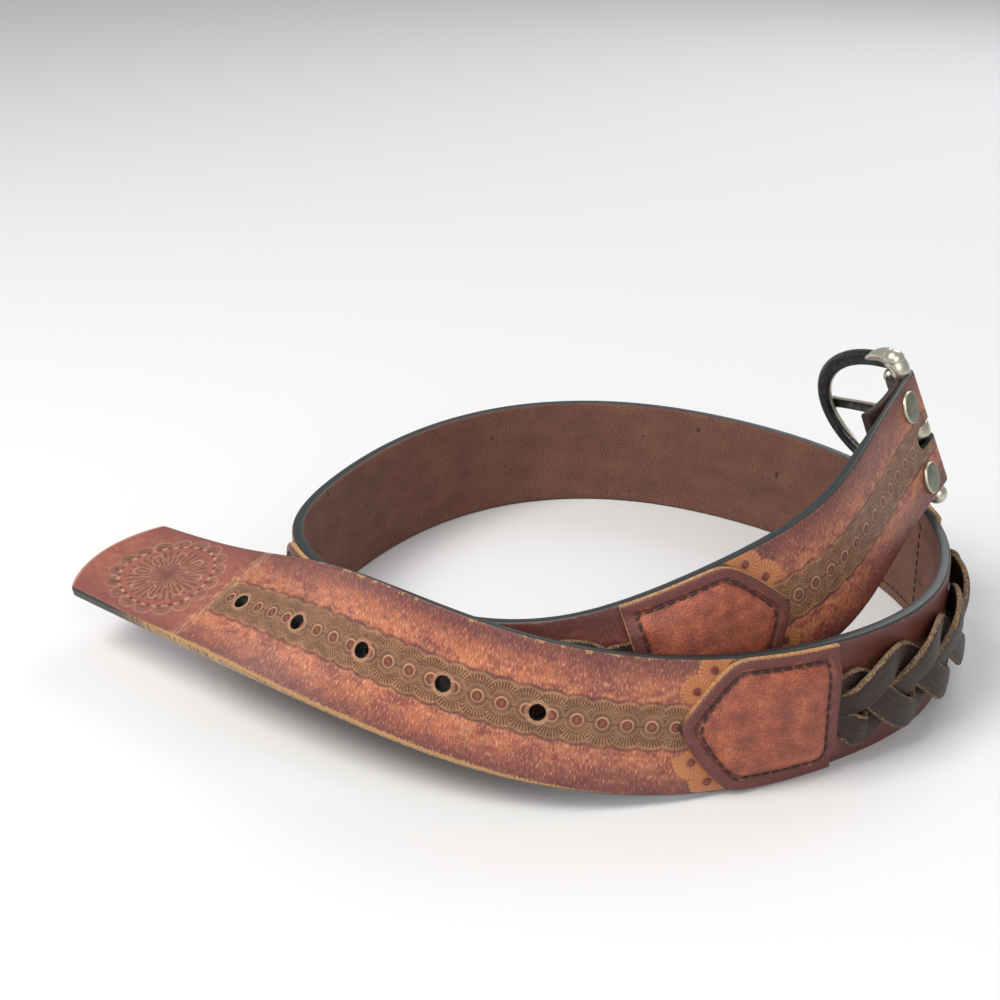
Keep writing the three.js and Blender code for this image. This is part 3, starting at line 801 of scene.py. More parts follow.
@dataclass(frozen=True)
class PatchFinish:
    """Mottled patch leather with a dark border and raw cut edges."""

    middle: Colour = srgb(164, 82, 52)
    light: Colour = srgb(202, 126, 84)
    deep: Colour = srgb(108, 50, 40)
    border: Colour = srgb(112, 52, 44)
    border_dark: Colour = srgb(74, 32, 34)
    raw: Colour = srgb(206, 158, 104)
    wall: Colour = srgb(70, 38, 30)
    stitch_groove: Colour = srgb(48, 22, 20)
    raw_dark: Colour = srgb(150, 104, 66)

    def material(self) -> bpy.types.Material:
        """The patches' material."""
        g = Graph("patch_leather")
        s, t = g.pair("flat")
        inset, wall = g.pair("edge")
        fine = g.flat_noise(s * 2.2, t * 2.2, 4.0, 0.7)
        cloud = g.flat_noise(s * 0.2, t * 0.2, 4.0, 0.6)
        fibre = g.flat_noise(s * 1.2, t * 4.5, 4.0, 0.6)
        mottle = fine * 0.75 + cloud * 0.5
        face = g.blend(mottle.rise(0.5, 0.72), self.deep, self.middle)
        face = g.blend(mottle.rise(0.64, 0.86) * 0.85, face, self.light)
        border = (inset + (fine - 0.5) * 4.0 + (cloud - 0.5) * 5.0).rise(5.4, 2.2)
        rim_leather = g.blend(fine.rise(0.42, 0.62), self.border_dark, self.border)
        face = g.blend(border * 0.88, face, rim_leather)
        groove = inset.band(LAYOUT.stitch_inset, 0.25, 0.6)
        face = g.blend(groove * 0.5, face, self.stitch_groove)
        cut = (inset + (fibre - 0.5) * 0.9).rise(0.45, 0.05) * t.rise(-3, 6)
        raw = g.blend(fine.rise(0.35, 0.7), self.raw_dark, self.raw)
        raw = g.blend(t.rise(-1, 6), self.wall, raw)
        face = g.blend(cut.most(wall.rise(0.3, 0.6)), face, raw)
        rough = 0.46 + (fine - 0.5) * 0.5 + wall * 0.3
        height = fine * 0.8 + cloud * 0.5 - groove * 0.5 + (fibre - 0.5) * cut * 0.8
        return g.finish(face, rough, height, bump=0.9, reach=0.4,
                        fixed={"Coat Weight": 0.12, "Coat Roughness": 0.35})


@dataclass(frozen=True)
class ThongFinish:
    """Dark smooth leather with pale suede edges."""

    face: Colour = srgb(32, 21, 18)
    face_light: Colour = srgb(68, 46, 38)
    suede: Colour = srgb(160, 132, 100)
    suede_dark: Colour = srgb(78, 58, 44)

    def material(self) -> bpy.types.Material:
        """The thongs' material."""
        g = Graph("thong_leather")
        run, side = g.pair("flat")
        around, _ = g.pair("section")
        long_grain = g.flat_noise(run * 0.22, side * 2.2, 4.0, 0.6)
        fine = g.noise(g.solid_place(), 1.6, 5.0, 0.65)
        face = g.blend(long_grain.rise(0.42, 0.72), self.face, self.face_light)
        suede = g.blend(fine.rise(0.38, 0.68), self.suede_dark, self.suede)
        edge = (around + (fine - 0.5) * 0.9 + (long_grain - 0.5) * 0.7).rise(0.34, 0.62)
        colour = g.blend(edge, face, suede)
        rough = 0.42 + edge * 0.45 + (fine - 0.5) * 0.3
        height = long_grain * 0.6 + fine * (0.2 + edge * 0.8)
        return g.finish(colour, rough, height, bump=1.0, reach=0.5,
                        fixed={"Specular IOR Level": 0.35})


@dataclass(frozen=True)
class ThreadFinish:
    """Dark waxed thread."""

    dark: Colour = srgb(34, 20, 20)
    light: Colour = srgb(70, 44, 40)

    def material(self) -> bpy.types.Material:
        """The thread's material."""
        g = Graph("stitch_thread")
        fine = g.noise(g.solid_place(), 5.0, 3.0, 0.6)
        colour = g.blend(fine.rise(0.4, 0.7), self.dark, self.light)
        return g.finish(colour, 0.6 + (fine - 0.5) * 0.3, fine, bump=0.4, reach=0.1)


@dataclass(frozen=True)
class MetalFinish:
    """Cast metal: dark plating that is rubbed bright where a mask says."""

    name: str
    dark: Colour
    light: Colour
    bright: Colour
    rough: float = 0.38
    pits: float = 0.5

    def material(self) -> bpy.types.Material:
        """The metal's material; the UV map "wear" holds the rubbed share."""
        g = Graph(self.name)
        rubbed, _ = g.pair("wear")
        place = g.solid_place()
        cloud = g.noise(place, 0.35, 4.0, 0.6)
        fine = g.noise(place, 2.2, 5.0, 0.65)
        colour = g.blend((cloud * 0.6 + fine * 0.5).rise(0.45, 0.75), self.dark, self.light)
        shine = (rubbed + (fine - 0.5) * 0.35).rise(0.35, 0.6)
        colour = g.blend(shine, colour, self.bright)
        rough = self.rough + (fine - 0.5) * 0.3 - shine * 0.08
        height = fine * self.pits + cloud * 0.5
        return g.finish(colour, rough, height, bump=0.35, reach=0.25, metal=0.92)


BUCKLE_METAL = MetalFinish("buckle_metal", dark=srgb(34, 35, 36), light=srgb(78, 80, 80),
                           bright=srgb(206, 200, 182))
TONGUE_METAL = MetalFinish("tongue_metal", dark=srgb(58, 57, 54), light=srgb(110, 108, 102),
                           bright=srgb(196, 190, 172))
SNAP_METAL = MetalFinish("snap_metal", dark=srgb(122, 122, 108), light=srgb(158, 158, 140),
                         bright=srgb(206, 200, 176), rough=0.45, pits=0.3)


# Strap


@dataclass
class Strap:
    """The strap with its fold, flap, holes and slot."""

    row_step: float = 1.25
    face_columns: int = 30
    edge_round: float = 0.9
    edge_steps: int = 4
    tip_blend: float = 26.0
    fold_leather: float = 2.2
    skive_length: float = 26.0
    flap_length: float = 24.0
    flap_flare: float = 3.5
    pinch_angle: float = 50.0
    bar_radius: float = 1.9
    gap: float = 0.3
    slot_width: float = 6.4
    slot_depth: float = 10.0
    snap_spacing: float = 24.0
    fold_to_snaps: float = 13.6
    snap_bore: float = 1.7
    fold_steps: int = 30
    flap_steps: int = 24
    pinch_walk: float = 3.0
    cut_margin: float = 2.0
    wall_across: float = 40.0
    wall_layer: tuple[float, float] = (1.8, 0.5)

    @property
    def fold_inner(self) -> float:
        """Inner radius of the fold."""
        return self.bar_radius + self.gap

    @property
    def fold_outer(self) -> float:
        """Outer radius of the fold."""
        return self.fold_inner + self.fold_leather

    @property
    def bar_along(self) -> float:
        """Where the bar's middle is along the strap."""
        return LIE.length - self.fold_outer

    @property
    def bar_out(self) -> float:
        """Where the bar's middle is, out from the middle of the leather."""
        return HALF_THICK - self.fold_outer

    @property
    def flap_back(self) -> float:
        """The face of the flap that shows inside the loop."""
        return HALF_THICK - 2 * self.fold_leather - self.gap

    def outline(self) -> Array:
        """Rows of the side outline: outer (along, out), inner (along, out), length walked."""
        rows: list[tuple[float, float, float, float, float]] = []
        count = round(self.bar_along / self.row_step)
        for i in range(count):
            along = i / count * self.bar_along
            start = self.bar_along - self.flap_length - self.skive_length
            thin = float(smooth((along - start) / self.skive_length))
            leather = LIE.thickness + (self.fold_leather - LIE.thickness) * thin
            rows.append((along, HALF_THICK, along, HALF_THICK - leather, along))
        turn = math.radians(180 + self.pinch_angle)

        def on_fold(radius: float, angle: float) -> tuple[float, float]:
            """Point of the fold's arc."""
            return (self.bar_along + radius * math.sin(angle),
                    self.bar_out + radius * math.cos(angle))

        for i in range(self.fold_steps + 1):
            angle = i / self.fold_steps * turn
            walked = self.bar_along + angle * self.fold_outer
            rows.append((*on_fold(self.fold_outer, angle), *on_fold(self.fold_inner, angle),
                         walked))
        leave_along, leave_out = on_fold(self.fold_inner, turn)
        face = HALF_THICK - self.fold_leather - self.gap
        pinch = math.radians(self.pinch_angle)
        meet = leave_along - (face - leave_out) / math.tan(pinch)
        corner = self.fold_leather * math.tan(pinch / 2)
        walked = rows[-1][4] + self.pinch_walk
        rows.append((meet - corner, face - self.fold_leather, meet, face, walked))
        end = self.bar_along - self.flap_length
        for i in range(1, self.flap_steps + 1):
            share = i / self.flap_steps
            along = (meet - corner) + (end - meet + corner) * share
            flare = self.flap_flare * share ** 3
            rows.append((along, face - self.fold_leather - flare, along, face - flare,
                         walked + (meet - corner - along)))
        return np.array(rows)

    def ring(self, thick: float) -> Array:
        """Points of a cross-section: across, depth below the outer face, side flag."""
        r = min(self.edge_round, thick * 0.42)
        flat = np.linspace(-(HALF_WIDTH - r), HALF_WIDTH - r, self.face_columns)
        angles = np.linspace(0, math.pi / 2, self.edge_steps + 1)
        points = [(x, 0.0, 0.0) for x in flat]
        points += [(HALF_WIDTH - r + r * math.sin(a), r - r * math.cos(a),
                    0.5 * math.sin(a)) for a in angles[1:]]
        points += [(HALF_WIDTH - r + r * math.cos(a), thick - r + r * math.sin(a),
                    0.5 + 0.5 * math.sin(a)) for a in angles[:-1]]
        points += [(x, thick, 1.0) for x in flat[::-1]]
        points += [(-(HALF_WIDTH - r) - r * math.sin(a), thick - r + r * math.cos(a),
                    1.0 - 0.5 * math.sin(a)) for a in angles[1:]]
        points += [(-(HALF_WIDTH - r) - r * math.cos(a), r - r * math.sin(a),
                    0.5 * math.cos(a)) for a in angles[:-1]]
        return np.array(points)

    def caps(self, rows: int, count: int) -> list[list[int]]:
        """Faces that close the tip and the end of the flap in strips."""
        columns, edge = self.face_columns, 2 * self.edge_steps
        faces = []
        for base, turned in ((0, True), ((rows - 1) * count, False)):
            inner = base + columns + edge
            faces += cap_quads(base, inner, columns, turned)
            upper = [base + columns - 1 + k for k in range(edge + 2)]
            lower = [inner + columns - 1 + k for k in range(edge + 1)] + [base]
            faces += [upper[::-1] if turned else upper, lower[::-1] if turned else lower]
        return faces

    def leather(self) -> bpy.types.Object:
        """The strap before its holes are cut."""
        rise = LAYOUT.tip_arc_rise
        radius = (HALF_WIDTH ** 2 + rise ** 2) / (2 * rise)
        points, flat, layer = [], [], []
        for outer_along, outer, inner_along, inner, walked in self.outline():
            thick = math.hypot(outer_along - inner_along, outer - inner)
            ring = self.ring(thick)
            share = ring[:, 1] / thick
            across = ring[:, 0]
            along = outer_along + (inner_along - outer_along) * share
            arc = radius - np.sqrt(radius ** 2 - across ** 2)
            shift = arc * (1 - float(smooth(walked / self.tip_blend)))
            points.append(LIE.place(along + shift, across, outer + (inner - outer) * share))
            flat.append(np.stack([walked + shift, across], axis=1))
            layer.append(ring[:, 1:3])
        count = len(points[0])
        faces = ring_faces(len(points), count, capped=False) + self.caps(len(points), count)
        return mesh_object("strap_blank", np.vstack(points), faces,
                           {"flat": np.vstack(flat), "layer": np.vstack(layer)})

    def cutter(self) -> bpy.types.Object:
        """Solids that cut the holes, the snaps' bores and the tongue's slot."""
        points: list[Array] = []
        faces: list[list[int]] = []
        flat: list[tuple[float, float]] = []

        def prism(outline: Array, matrix: Matrix, low: float, high: float,
                  middle: float) -> None:
            """Adds a straight prism through the leather."""
            base = sum(len(block) for block in points)
            block = [matrix @ Vector((x, y, z)) for z in (low, high) for x, y in outline]
            points.append(np.array(block))
            faces.extend([[base + k for k in face]
                          for face in ring_faces(2, len(outline))])
            flat.extend([(middle, self.wall_across)] * (2 * len(outline)))

        def circle(size: float, steps: int = 32) -> Array:
            """Round outline."""
            turns = full_turn(steps)
            return np.stack([np.cos(turns) * size, np.sin(turns) * size], axis=1)

        over = self.cut_margin
        for hole in LAYOUT.holes():
            prism(circle(LAYOUT.hole_radius), LIE.rigid(hole, 0, 0), -2 * over, 2 * over, hole)
        snaps = LIE.length - self.fold_to_snaps
        for sign in (-1, 1):
            matrix = LIE.rigid(snaps, sign * self.snap_spacing / 2, 0)
            prism(circle(self.snap_bore, 20), matrix, self.flap_back - over, HALF_THICK + over,
                  snaps)
        half = self.slot_width / 2
        turns = np.linspace(math.pi / 2, math.pi * 1.5, 17)
        start = -self.slot_depth + half
        slot = [(self.fold_outer + 3, half)]
        slot += [(start + half * math.cos(a), half * math.sin(a)) for a in turns]
        slot += [(self.fold_outer + 3, -half)]
        prism(np.array(slot), LIE.rigid(self.bar_along, 0, 0), self.flap_back - 2 * over,
              HALF_THICK + over, self.bar_along)
        return mesh_object("strap_cutter", np.vstack(points), faces,
                           {"flat": np.array(flat),
                            "layer": np.full((len(flat), 2), self.wall_layer)})

    def build(self, finish: StrapFinish) -> None:
        """Cuts, dresses and places the strap."""
        blank, cutter = self.leather(), self.cutter()
        cut = blank.modifiers.new("holes", "BOOLEAN")
        cut.operation, cut.solver, cut.object = "DIFFERENCE", "EXACT", cutter
        piece = applied(blank, "strap_leather")
        bpy.data.objects.remove(cutter)
        piece.data.set_sharp_from_angle(angle=math.radians(SHARP_ANGLE))
        finished(piece, Body.BELT, finish.material(), ["strap"])


# Patches


@dataclass
class Patches:
    """Four pointed patches sewn over the thongs' ends, and their stitches."""

    leather: float = 1.8
    edge_inset: float = 0.25
    pocket_slope: float = 6.0
    pocket_half: float = 9.96
    pocket_rise: float = 2.1
    stitch_pitch: float = 3.1
    stitch_length: float = 2.5
    thread: float = 0.75
    puff: float = 0.7
    puff_run: float = 3.0
    channel_depth: float = 0.35
    channel_half: float = 0.7
    edge_drop: float = 0.55
    edge_round: float = 0.9
    outline_steps: int = 60
    rows: int = 84
    columns: int = 72
    outline_shares: tuple[tuple[float, float], ...] = (
        (0.0, 0.03), (0.03, 0.11), (0.10, 0.22), (0.30, 0.45), (0.50, 0.655), (0.70, 0.825),
        (0.85, 0.925), (1.0, 0.975), (1.15, 0.995), (1.35, 1.0))

    @property
    def half_width(self) -> float:
        """Half of the patch's width."""
        return HALF_WIDTH - self.edge_inset

    def half_at(self, from_point: Array) -> Array:
        """Half width at distances from the point."""
        shares = np.array(self.outline_shares)
        return self.half_width * np.interp(from_point / LAYOUT.patch_point, shares[:, 0],
                                           shares[:, 1])

    def inset_at(self, from_point: Array, across: Array) -> Array:
        """Distance from the patch's outline, over the whole face."""
        run = np.linspace(0, LAYOUT.patch_length, 400)
        side = np.stack([run, self.half_at(run)], axis=1)
        steps = self.outline_steps
        mouth = np.stack([np.full(steps, LAYOUT.patch_length),
                          np.linspace(0, self.half_width, steps)], axis=1)
        nose = np.array([[0.0, 0.0]])
        outline = np.vstack([side, mouth, nose])
        points = np.stack([from_point.ravel(), np.abs(across).ravel()], axis=1)
        gaps = np.sqrt(((points[:, None, :] - outline[None]) ** 2).sum(2)).min(1)
        return gaps.reshape(from_point.shape)

    def top(self, from_point: Array, across: Array, inset: Array) -> Array:
        """Height of the patch's face, out from the middle of the strap's leather."""
        start = LAYOUT.patch_point * 0.4
        full = LAYOUT.patch_length - LAYOUT.sewn_in - 2
        lengthwise = smooth((from_point - start) / (full - start))
        crosswise = 1 - smooth((np.abs(across) - self.pocket_half) / self.pocket_slope)
        raised = self.pocket_rise * lengthwise * crosswise
        puffed = self.puff * smooth((inset - LAYOUT.stitch_inset - 0.2) / self.puff_run)
        channel = -self.channel_depth * np.exp(
            -((inset - LAYOUT.stitch_inset) / self.channel_half) ** 2)
        rounded = -self.edge_drop * (1 - smooth(inset / self.edge_round))
        return HALF_THICK + self.leather + raised + puffed + channel + rounded

    def patch(self, place: PatchPlace, material: bpy.types.Material) -> None:
        """One patch: its face, its cut edge and its underside."""
        eased = np.linspace(0, 1, self.rows)
        run = LAYOUT.patch_length * (0.75 * eased + 0.25 * eased ** 2)
        share = np.sin(np.linspace(-math.pi / 2, math.pi / 2, self.columns))
        share = 0.55 * share + 0.45 * np.linspace(-1, 1, self.columns)
        from_point = np.repeat(run[:, None], self.columns, axis=1)
        across = share[None] * self.half_at(run)[:, None]
        inset = self.inset_at(from_point, across)
        top = self.top(from_point, across, inset)
        base = HALF_THICK - 0.05 + np.maximum(top - HALF_THICK - self.leather - 0.6, 0)
        along = place.point + place.direction * from_point
        over = LIE.place(along, across, top)
        under = LIE.place(along, across, base)[:, ::-1]
        points = np.concatenate([over, under], axis=1).reshape(-1, 3)
        insets = np.concatenate([inset, inset[:, ::-1] * 0], axis=1)
        walls = np.concatenate([np.zeros_like(inset), np.ones_like(inset)], axis=1)
        flat = np.stack([np.concatenate([along, along[:, ::-1]], axis=1),
                         np.concatenate([across, across[:, ::-1]], axis=1)], axis=-1)
        count = 2 * self.columns
        faces = ring_faces(self.rows, count, capped=False)
        for base_row, turned in ((0, True), ((self.rows - 1) * count, False)):
            faces += cap_quads(base_row, base_row + self.columns, self.columns, turned)
        piece = mesh_object(f"{place.name}_leather", points, faces,
                            {"flat": flat.reshape(-1, 2),
                             "edge": np.stack([insets, walls], axis=-1).reshape(-1, 2)})
        finished(piece, Body.BELT, material, [place.name])

    def stitch_line(self) -> Array:
        """The closed line of the stitches in one patch: distance from the point, across."""
        nose = LAYOUT.stitch_inset * 1.35
        end = LAYOUT.patch_length - LAYOUT.stitch_inset
        run = np.linspace(nose, end, 160)
        half = np.minimum(self.half_at((run - nose) * 1.02), self.half_width - LAYOUT.stitch_inset)
        half[0] = 0
        corner = 3.0
        upper = np.stack([run, half], axis=1)
        upper = upper[upper[:, 0] < end - corner * 0.3]
        mouth = np.linspace(upper[-1, 1], -upper[-1, 1], self.outline_steps)
        closing = np.stack([np.full(self.outline_steps, end), mouth], axis=1)
        lower = upper[::-1] * np.array([1, -1])
        return np.vstack([upper, closing[1:-1], lower])

    def stitches(self, material: bpy.types.Material) -> None:
        """The thread of all four patches, on both faces of the strap."""
        points, outward, edges = [], [], []
        line = self.stitch_line()
        for place in LAYOUT.patches():
            along = place.point + place.direction * line[:, 0]
            inset = self.inset_at(line[:, 0], line[:, 1])
            face = self.top(line[:, 0], line[:, 1], inset) + self.thread * 0.15
            directions = LIE.directions(along)[3]
            for out, normal in ((face, directions),
                                (np.full(len(line), -HALF_THICK - 0.1), -directions)):
                base = sum(len(block) for block in points)
                points.append(LIE.place(along, line[:, 1], out))
                outward.append(normal)
                edges += [(base + k, base + k + 1) for k in range(len(line) - 1)]
        mesh = bpy.data.meshes.new("stitch_lines")
        mesh.from_pydata(np.vstack(points).tolist(), edges, [])
        normal = mesh.attributes.new("outward", "FLOAT_VECTOR", "POINT")
        normal.data.foreach_set("vector", np.vstack(outward).astype(np.float32).ravel())
        lines = linked("stitch_lines", mesh)
        sizes = {"Pitch": self.stitch_pitch * MM, "Stitch Length": self.stitch_length * MM,
                 "Thread": self.thread * MM, "Thread Material": material}
        StitchTree().apply(lines, sizes)
        piece = applied(lines, "patch_stitches")
        finished(piece, Body.BELT, material)

    def build(self, finish: PatchFinish, thread: ThreadFinish) -> None:
        """Builds the patches and their stitches."""
        material = finish.material()
        for place in LAYOUT.patches():
            self.patch(place, material)
        self.stitches(thread.material())


@dataclass
class StitchTree:
    """Geometry Nodes that lay one stitch after another along lines."""

    name: str = "stitch_run"

    def tree(self) -> bpy.types.NodeTree:
        """The node tree, with named inputs for the stitches' sizes."""
        tree = bpy.data.node_groups.new(self.name, "GeometryNodeTree")
        face = tree.interface
        face.new_socket("Geometry", in_out="INPUT", socket_type="NodeSocketGeometry")
        for name in ("Pitch", "Stitch Length", "Thread"):
            face.new_socket(name, in_out="INPUT", socket_type="NodeSocketFloat")
        face.new_socket("Thread Material", in_out="INPUT", socket_type="NodeSocketMaterial")
        face.new_socket("Geometry", in_out="OUTPUT", socket_type="NodeSocketGeometry")

        def add(kind: str, settings: dict[str, Any] | None = None,
                links: dict[Any, Any] | None = None) -> bpy.types.Node:
            """One node with its settings and its inputs."""
            made = tree.nodes.new(kind)
            for key, value in (settings or {}).items():
                setattr(made, key, value)
            for key, value in (links or {}).items():
                if isinstance(value, bpy.types.NodeSocket):
                    tree.links.new(value, made.inputs[key])
                else:
                    made.inputs[key].default_value = value
            return made

        given = add("NodeGroupInput").outputs
        curve = add("GeometryNodeMeshToCurve", {}, {"Mesh": given["Geometry"]})
        spaced = add("GeometryNodeResampleCurve", {"mode": "LENGTH"},
                     {"Curve": curve.outputs[0], "Length": given["Pitch"]})
        ball = add("GeometryNodeMeshUVSphere", {},
                   {"Segments": 8, "Rings": 6, "Radius": 0.5})
        size = add("ShaderNodeCombineXYZ", {},
                   {0: given["Stitch Length"], 1: given["Thread"], 2: given["Thread"]})
        stitch = add("GeometryNodeTransform", {},
                     {"Geometry": ball.outputs[0], "Scale": size.outputs[0]})
        outward = add("GeometryNodeInputNamedAttribute", {"data_type": "FLOAT_VECTOR"},
                      {"Name": "outward"})
        ahead = add("GeometryNodeInputTangent")
        turned = add("FunctionNodeAxesToRotation", {"primary_axis": "X", "secondary_axis": "Z"},
                     {0: ahead.outputs[0], 1: outward.outputs[0]})
        laid = add("GeometryNodeInstanceOnPoints", {},
                   {"Points": spaced.outputs[0], "Instance": stitch.outputs[0],
                    "Rotation": turned.outputs[0]})
        real = add("GeometryNodeRealizeInstances", {}, {0: laid.outputs[0]})
        dressed = add("GeometryNodeSetMaterial", {},
                      {"Geometry": real.outputs[0], "Material": given["Thread Material"]})
        add("NodeGroupOutput", {}, {0: dressed.outputs[0]})
        return tree

    def apply(self, piece: bpy.types.Object, sizes: dict[str, Any]) -> None:
        """Adds the tree to a piece as a modifier and sets its inputs."""
        modifier = piece.modifiers.new(self.name, "NODES")
        modifier.node_group = self.tree()
        for item in modifier.node_group.interface.items_tree:
            if item.in_out == "INPUT" and item.name in sizes:
                modifier[item.identifier] = sizes[item.name]


# Braids


@dataclass
class Braids:
    """Two flat braids of three thongs each."""

    width: float = 9.0
    thickness: float = 2.0
    swing: float = 9.4
    weave: float = 1.9
    lead: float = 7.0
    mouth_swing: float = 6.2
    twist_length: float = 56.0
    rows: int = 260
    section_steps: int = 28
    thongs: int = 3
    seed: int = 11
    probe: float = 0.05
    crown: float = 0.35
    mouth_narrowing: float = 0.28

    def middle(self, at: Array, number: int) -> Array:
        """Middle of a thong: along, across, out, at lengths from the near mouth."""
        length = LAYOUT.braid_length
        turns = round(length / self.twist_length * 2) / 2
        inside = np.clip(at, 0, length)
        from_far = length - inside

        def ease(x: Array) -> Array:
            """Length travelled, with a soft start over the lead."""
            return np.where(x < self.lead, x * x / (2 * self.lead), x - self.lead / 2)

        run = length - self.lead
        travelled = np.where(inside < length / 2, ease(inside), run - ease(from_far))
        phase = travelled / run * turns * 2 * math.pi + number * 2 * math.pi / self.thongs
        open_share = smooth(np.minimum(inside, from_far) / (self.lead * 1.6))
        swing = self.mouth_swing + (self.swing - self.mouth_swing) * open_share
        lift = self.weave * smooth(np.minimum(inside, from_far) / self.lead)
        base = HALF_THICK + 0.15 + self.thickness / 2
        return np.stack([at, swing * np.sin(phase), base + lift * (1 + np.sin(2 * phase))],
                        axis=1)

    def thong(self, braid: str, start: float, number: int,
              material: bpy.types.Material) -> None:
        """One thong with rounded edges."""
        at = np.linspace(-LAYOUT.sewn_in, LAYOUT.braid_length + LAYOUT.sewn_in, self.rows)
        middle = self.middle(at, number)
        near = self.probe
        ahead = unit(self.middle(at + near, number) - self.middle(at - near, number))
        sideways = unit(np.cross(UP, ahead))
        upward = np.cross(ahead, sideways)
        turns = full_turn(self.section_steps)
        cos, sin = np.cos(turns), np.sin(turns)
        across = self.width / 2 * np.sign(cos) * np.abs(cos) ** 0.42
        height = self.thickness / 2 * np.sign(sin) * np.abs(sin) ** 0.5
        rng = np.random.default_rng(self.seed + number)
        wave = np.convolve(rng.normal(size=self.rows + 40), np.hanning(21) / 10, "same")
        crown = self.crown * (1 - (across / (self.width / 2)) ** 2)
        inside = np.minimum(at, LAYOUT.braid_length - at)
        narrow = 1 - self.mouth_narrowing * (1 - smooth(inside / self.lead))
        points = []
        for i in range(self.rows):
            wide = across * narrow[i] * (1 + 0.03 * wave[i + 20])
            local = (middle[i] + sideways[i] * wide[:, None]
                     + upward[i] * (height + crown)[:, None])
            points.append(LIE.place(start + local[:, 0], local[:, 1], local[:, 2]))
        edge = np.abs(cos) ** 2.2
        flat = np.stack([np.repeat(at, self.section_steps), np.tile(across, self.rows)], axis=1)
        section = np.stack([np.tile(edge, self.rows), np.zeros(len(flat))], axis=1)
        node = f"thong_{braid}_{number + 1}"
        piece = mesh_object(f"{node}_leather", np.vstack(points),
                            ring_faces(self.rows, self.section_steps),
                            {"flat": flat, "section": section})
        finished(piece, Body.BELT, material, [node])

    def build(self, finish: ThongFinish) -> None:
        """Builds both braids."""
        material = finish.material()
        for braid, start in LAYOUT.braids().items():
            for number in range(self.thongs):
                self.thong(braid, start, number, material)


# Metal


def swept(path: Array, sideways: Array, widths: Array, heights: Array, steps: int = 20,
          square: float = 0.7) -> tuple[Array, list[list[int]]]:
    """Rounded bar along a path, in the path's own units.

    Args:
        path: middle points.
        sideways: direction of the width at each point.
        widths: full widths.
        heights: full heights.
        steps: points round the section.
        square: 1 for an oval section, less for a squarer one.

    Returns:
        Points and faces of the closed bar.
    """
    upward = unit(np.cross(unit(np.gradient(path, axis=0)), sideways))
    turns = full_turn(steps)
    x = np.sign(np.cos(turns)) * np.abs(np.cos(turns)) ** square
    y = np.sign(np.sin(turns)) * np.abs(np.sin(turns)) ** square
    rings = [path[i] + sideways[i] * (x * widths[i] / 2)[:, None]
             + upward[i] * (y * heights[i] / 2)[:, None] for i in range(len(path))]
    return np.vstack(rings), ring_faces(len(path), steps)


def smooth_line(knots: Sequence[Sequence[float]], count: int) -> Array:
    """Smooth line through knots, evenly shared between them."""
    table = np.array(knots, float)
    padded = np.vstack([2 * table[0] - table[1], table, 2 * table[-1] - table[-2]])
    spots = np.linspace(0, len(table) - 1, count)
    start = np.minimum(spots.astype(int), len(table) - 2)
    f = (spots - start)[:, None]
    a, b, c, d = (padded[start + k] for k in range(4))
    return 0.5 * (2 * b + (c - a) * f + (2 * a - 5 * b + 4 * c - d) * f ** 2
                  + (3 * b - a - 3 * c + d) * f ** 3)


@dataclass
class MetalPiece:
    """Collects the bars and lathed shapes of one cast piece."""

    matrix: Matrix
    points: list[Array] = field(default_factory=list)
    faces: list[list[int]] = field(default_factory=list)
    wear: list[Array] = field(default_factory=list)

    def add(self, shape: tuple[Array, list[list[int]]], wear: Array | float = 0.0) -> None:
        """Adds one shape, with its rubbed share."""
        points, faces = shape
        base = sum(len(block) for block in self.points)
        self.points.append(points)
        self.faces += [[base + k for k in face] for face in faces]
        self.wear.append(np.broadcast_to(np.asarray(wear, float), (len(points),)))

    def lathe(self, profile: Sequence[tuple[float, float]], steps: int,
              turn: Matrix, wear: Array | float = 0.0) -> None:
        """Adds a shape turned round Z: (radius, height) pairs from the top down or up."""
        turns = full_turn(steps)
        rings = [[turn @ Vector((r * math.cos(a), r * math.sin(a), h)) for a in turns]
                 for r, h in profile]
        self.add((np.array(rings).reshape(-1, 3), ring_faces(len(profile), steps)), wear)

    def object(self, name: str) -> bpy.types.Object:
        """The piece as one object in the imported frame."""
        local = np.vstack(self.points)
        turned = local @ np.array(self.matrix.to_3x3()).T + np.array(self.matrix.translation)
        wear = np.concatenate(self.wear)
        return mesh_object(name, turned, self.faces,
                           {"wear": np.stack([wear, wear * 0], axis=1)}, sharp=60)


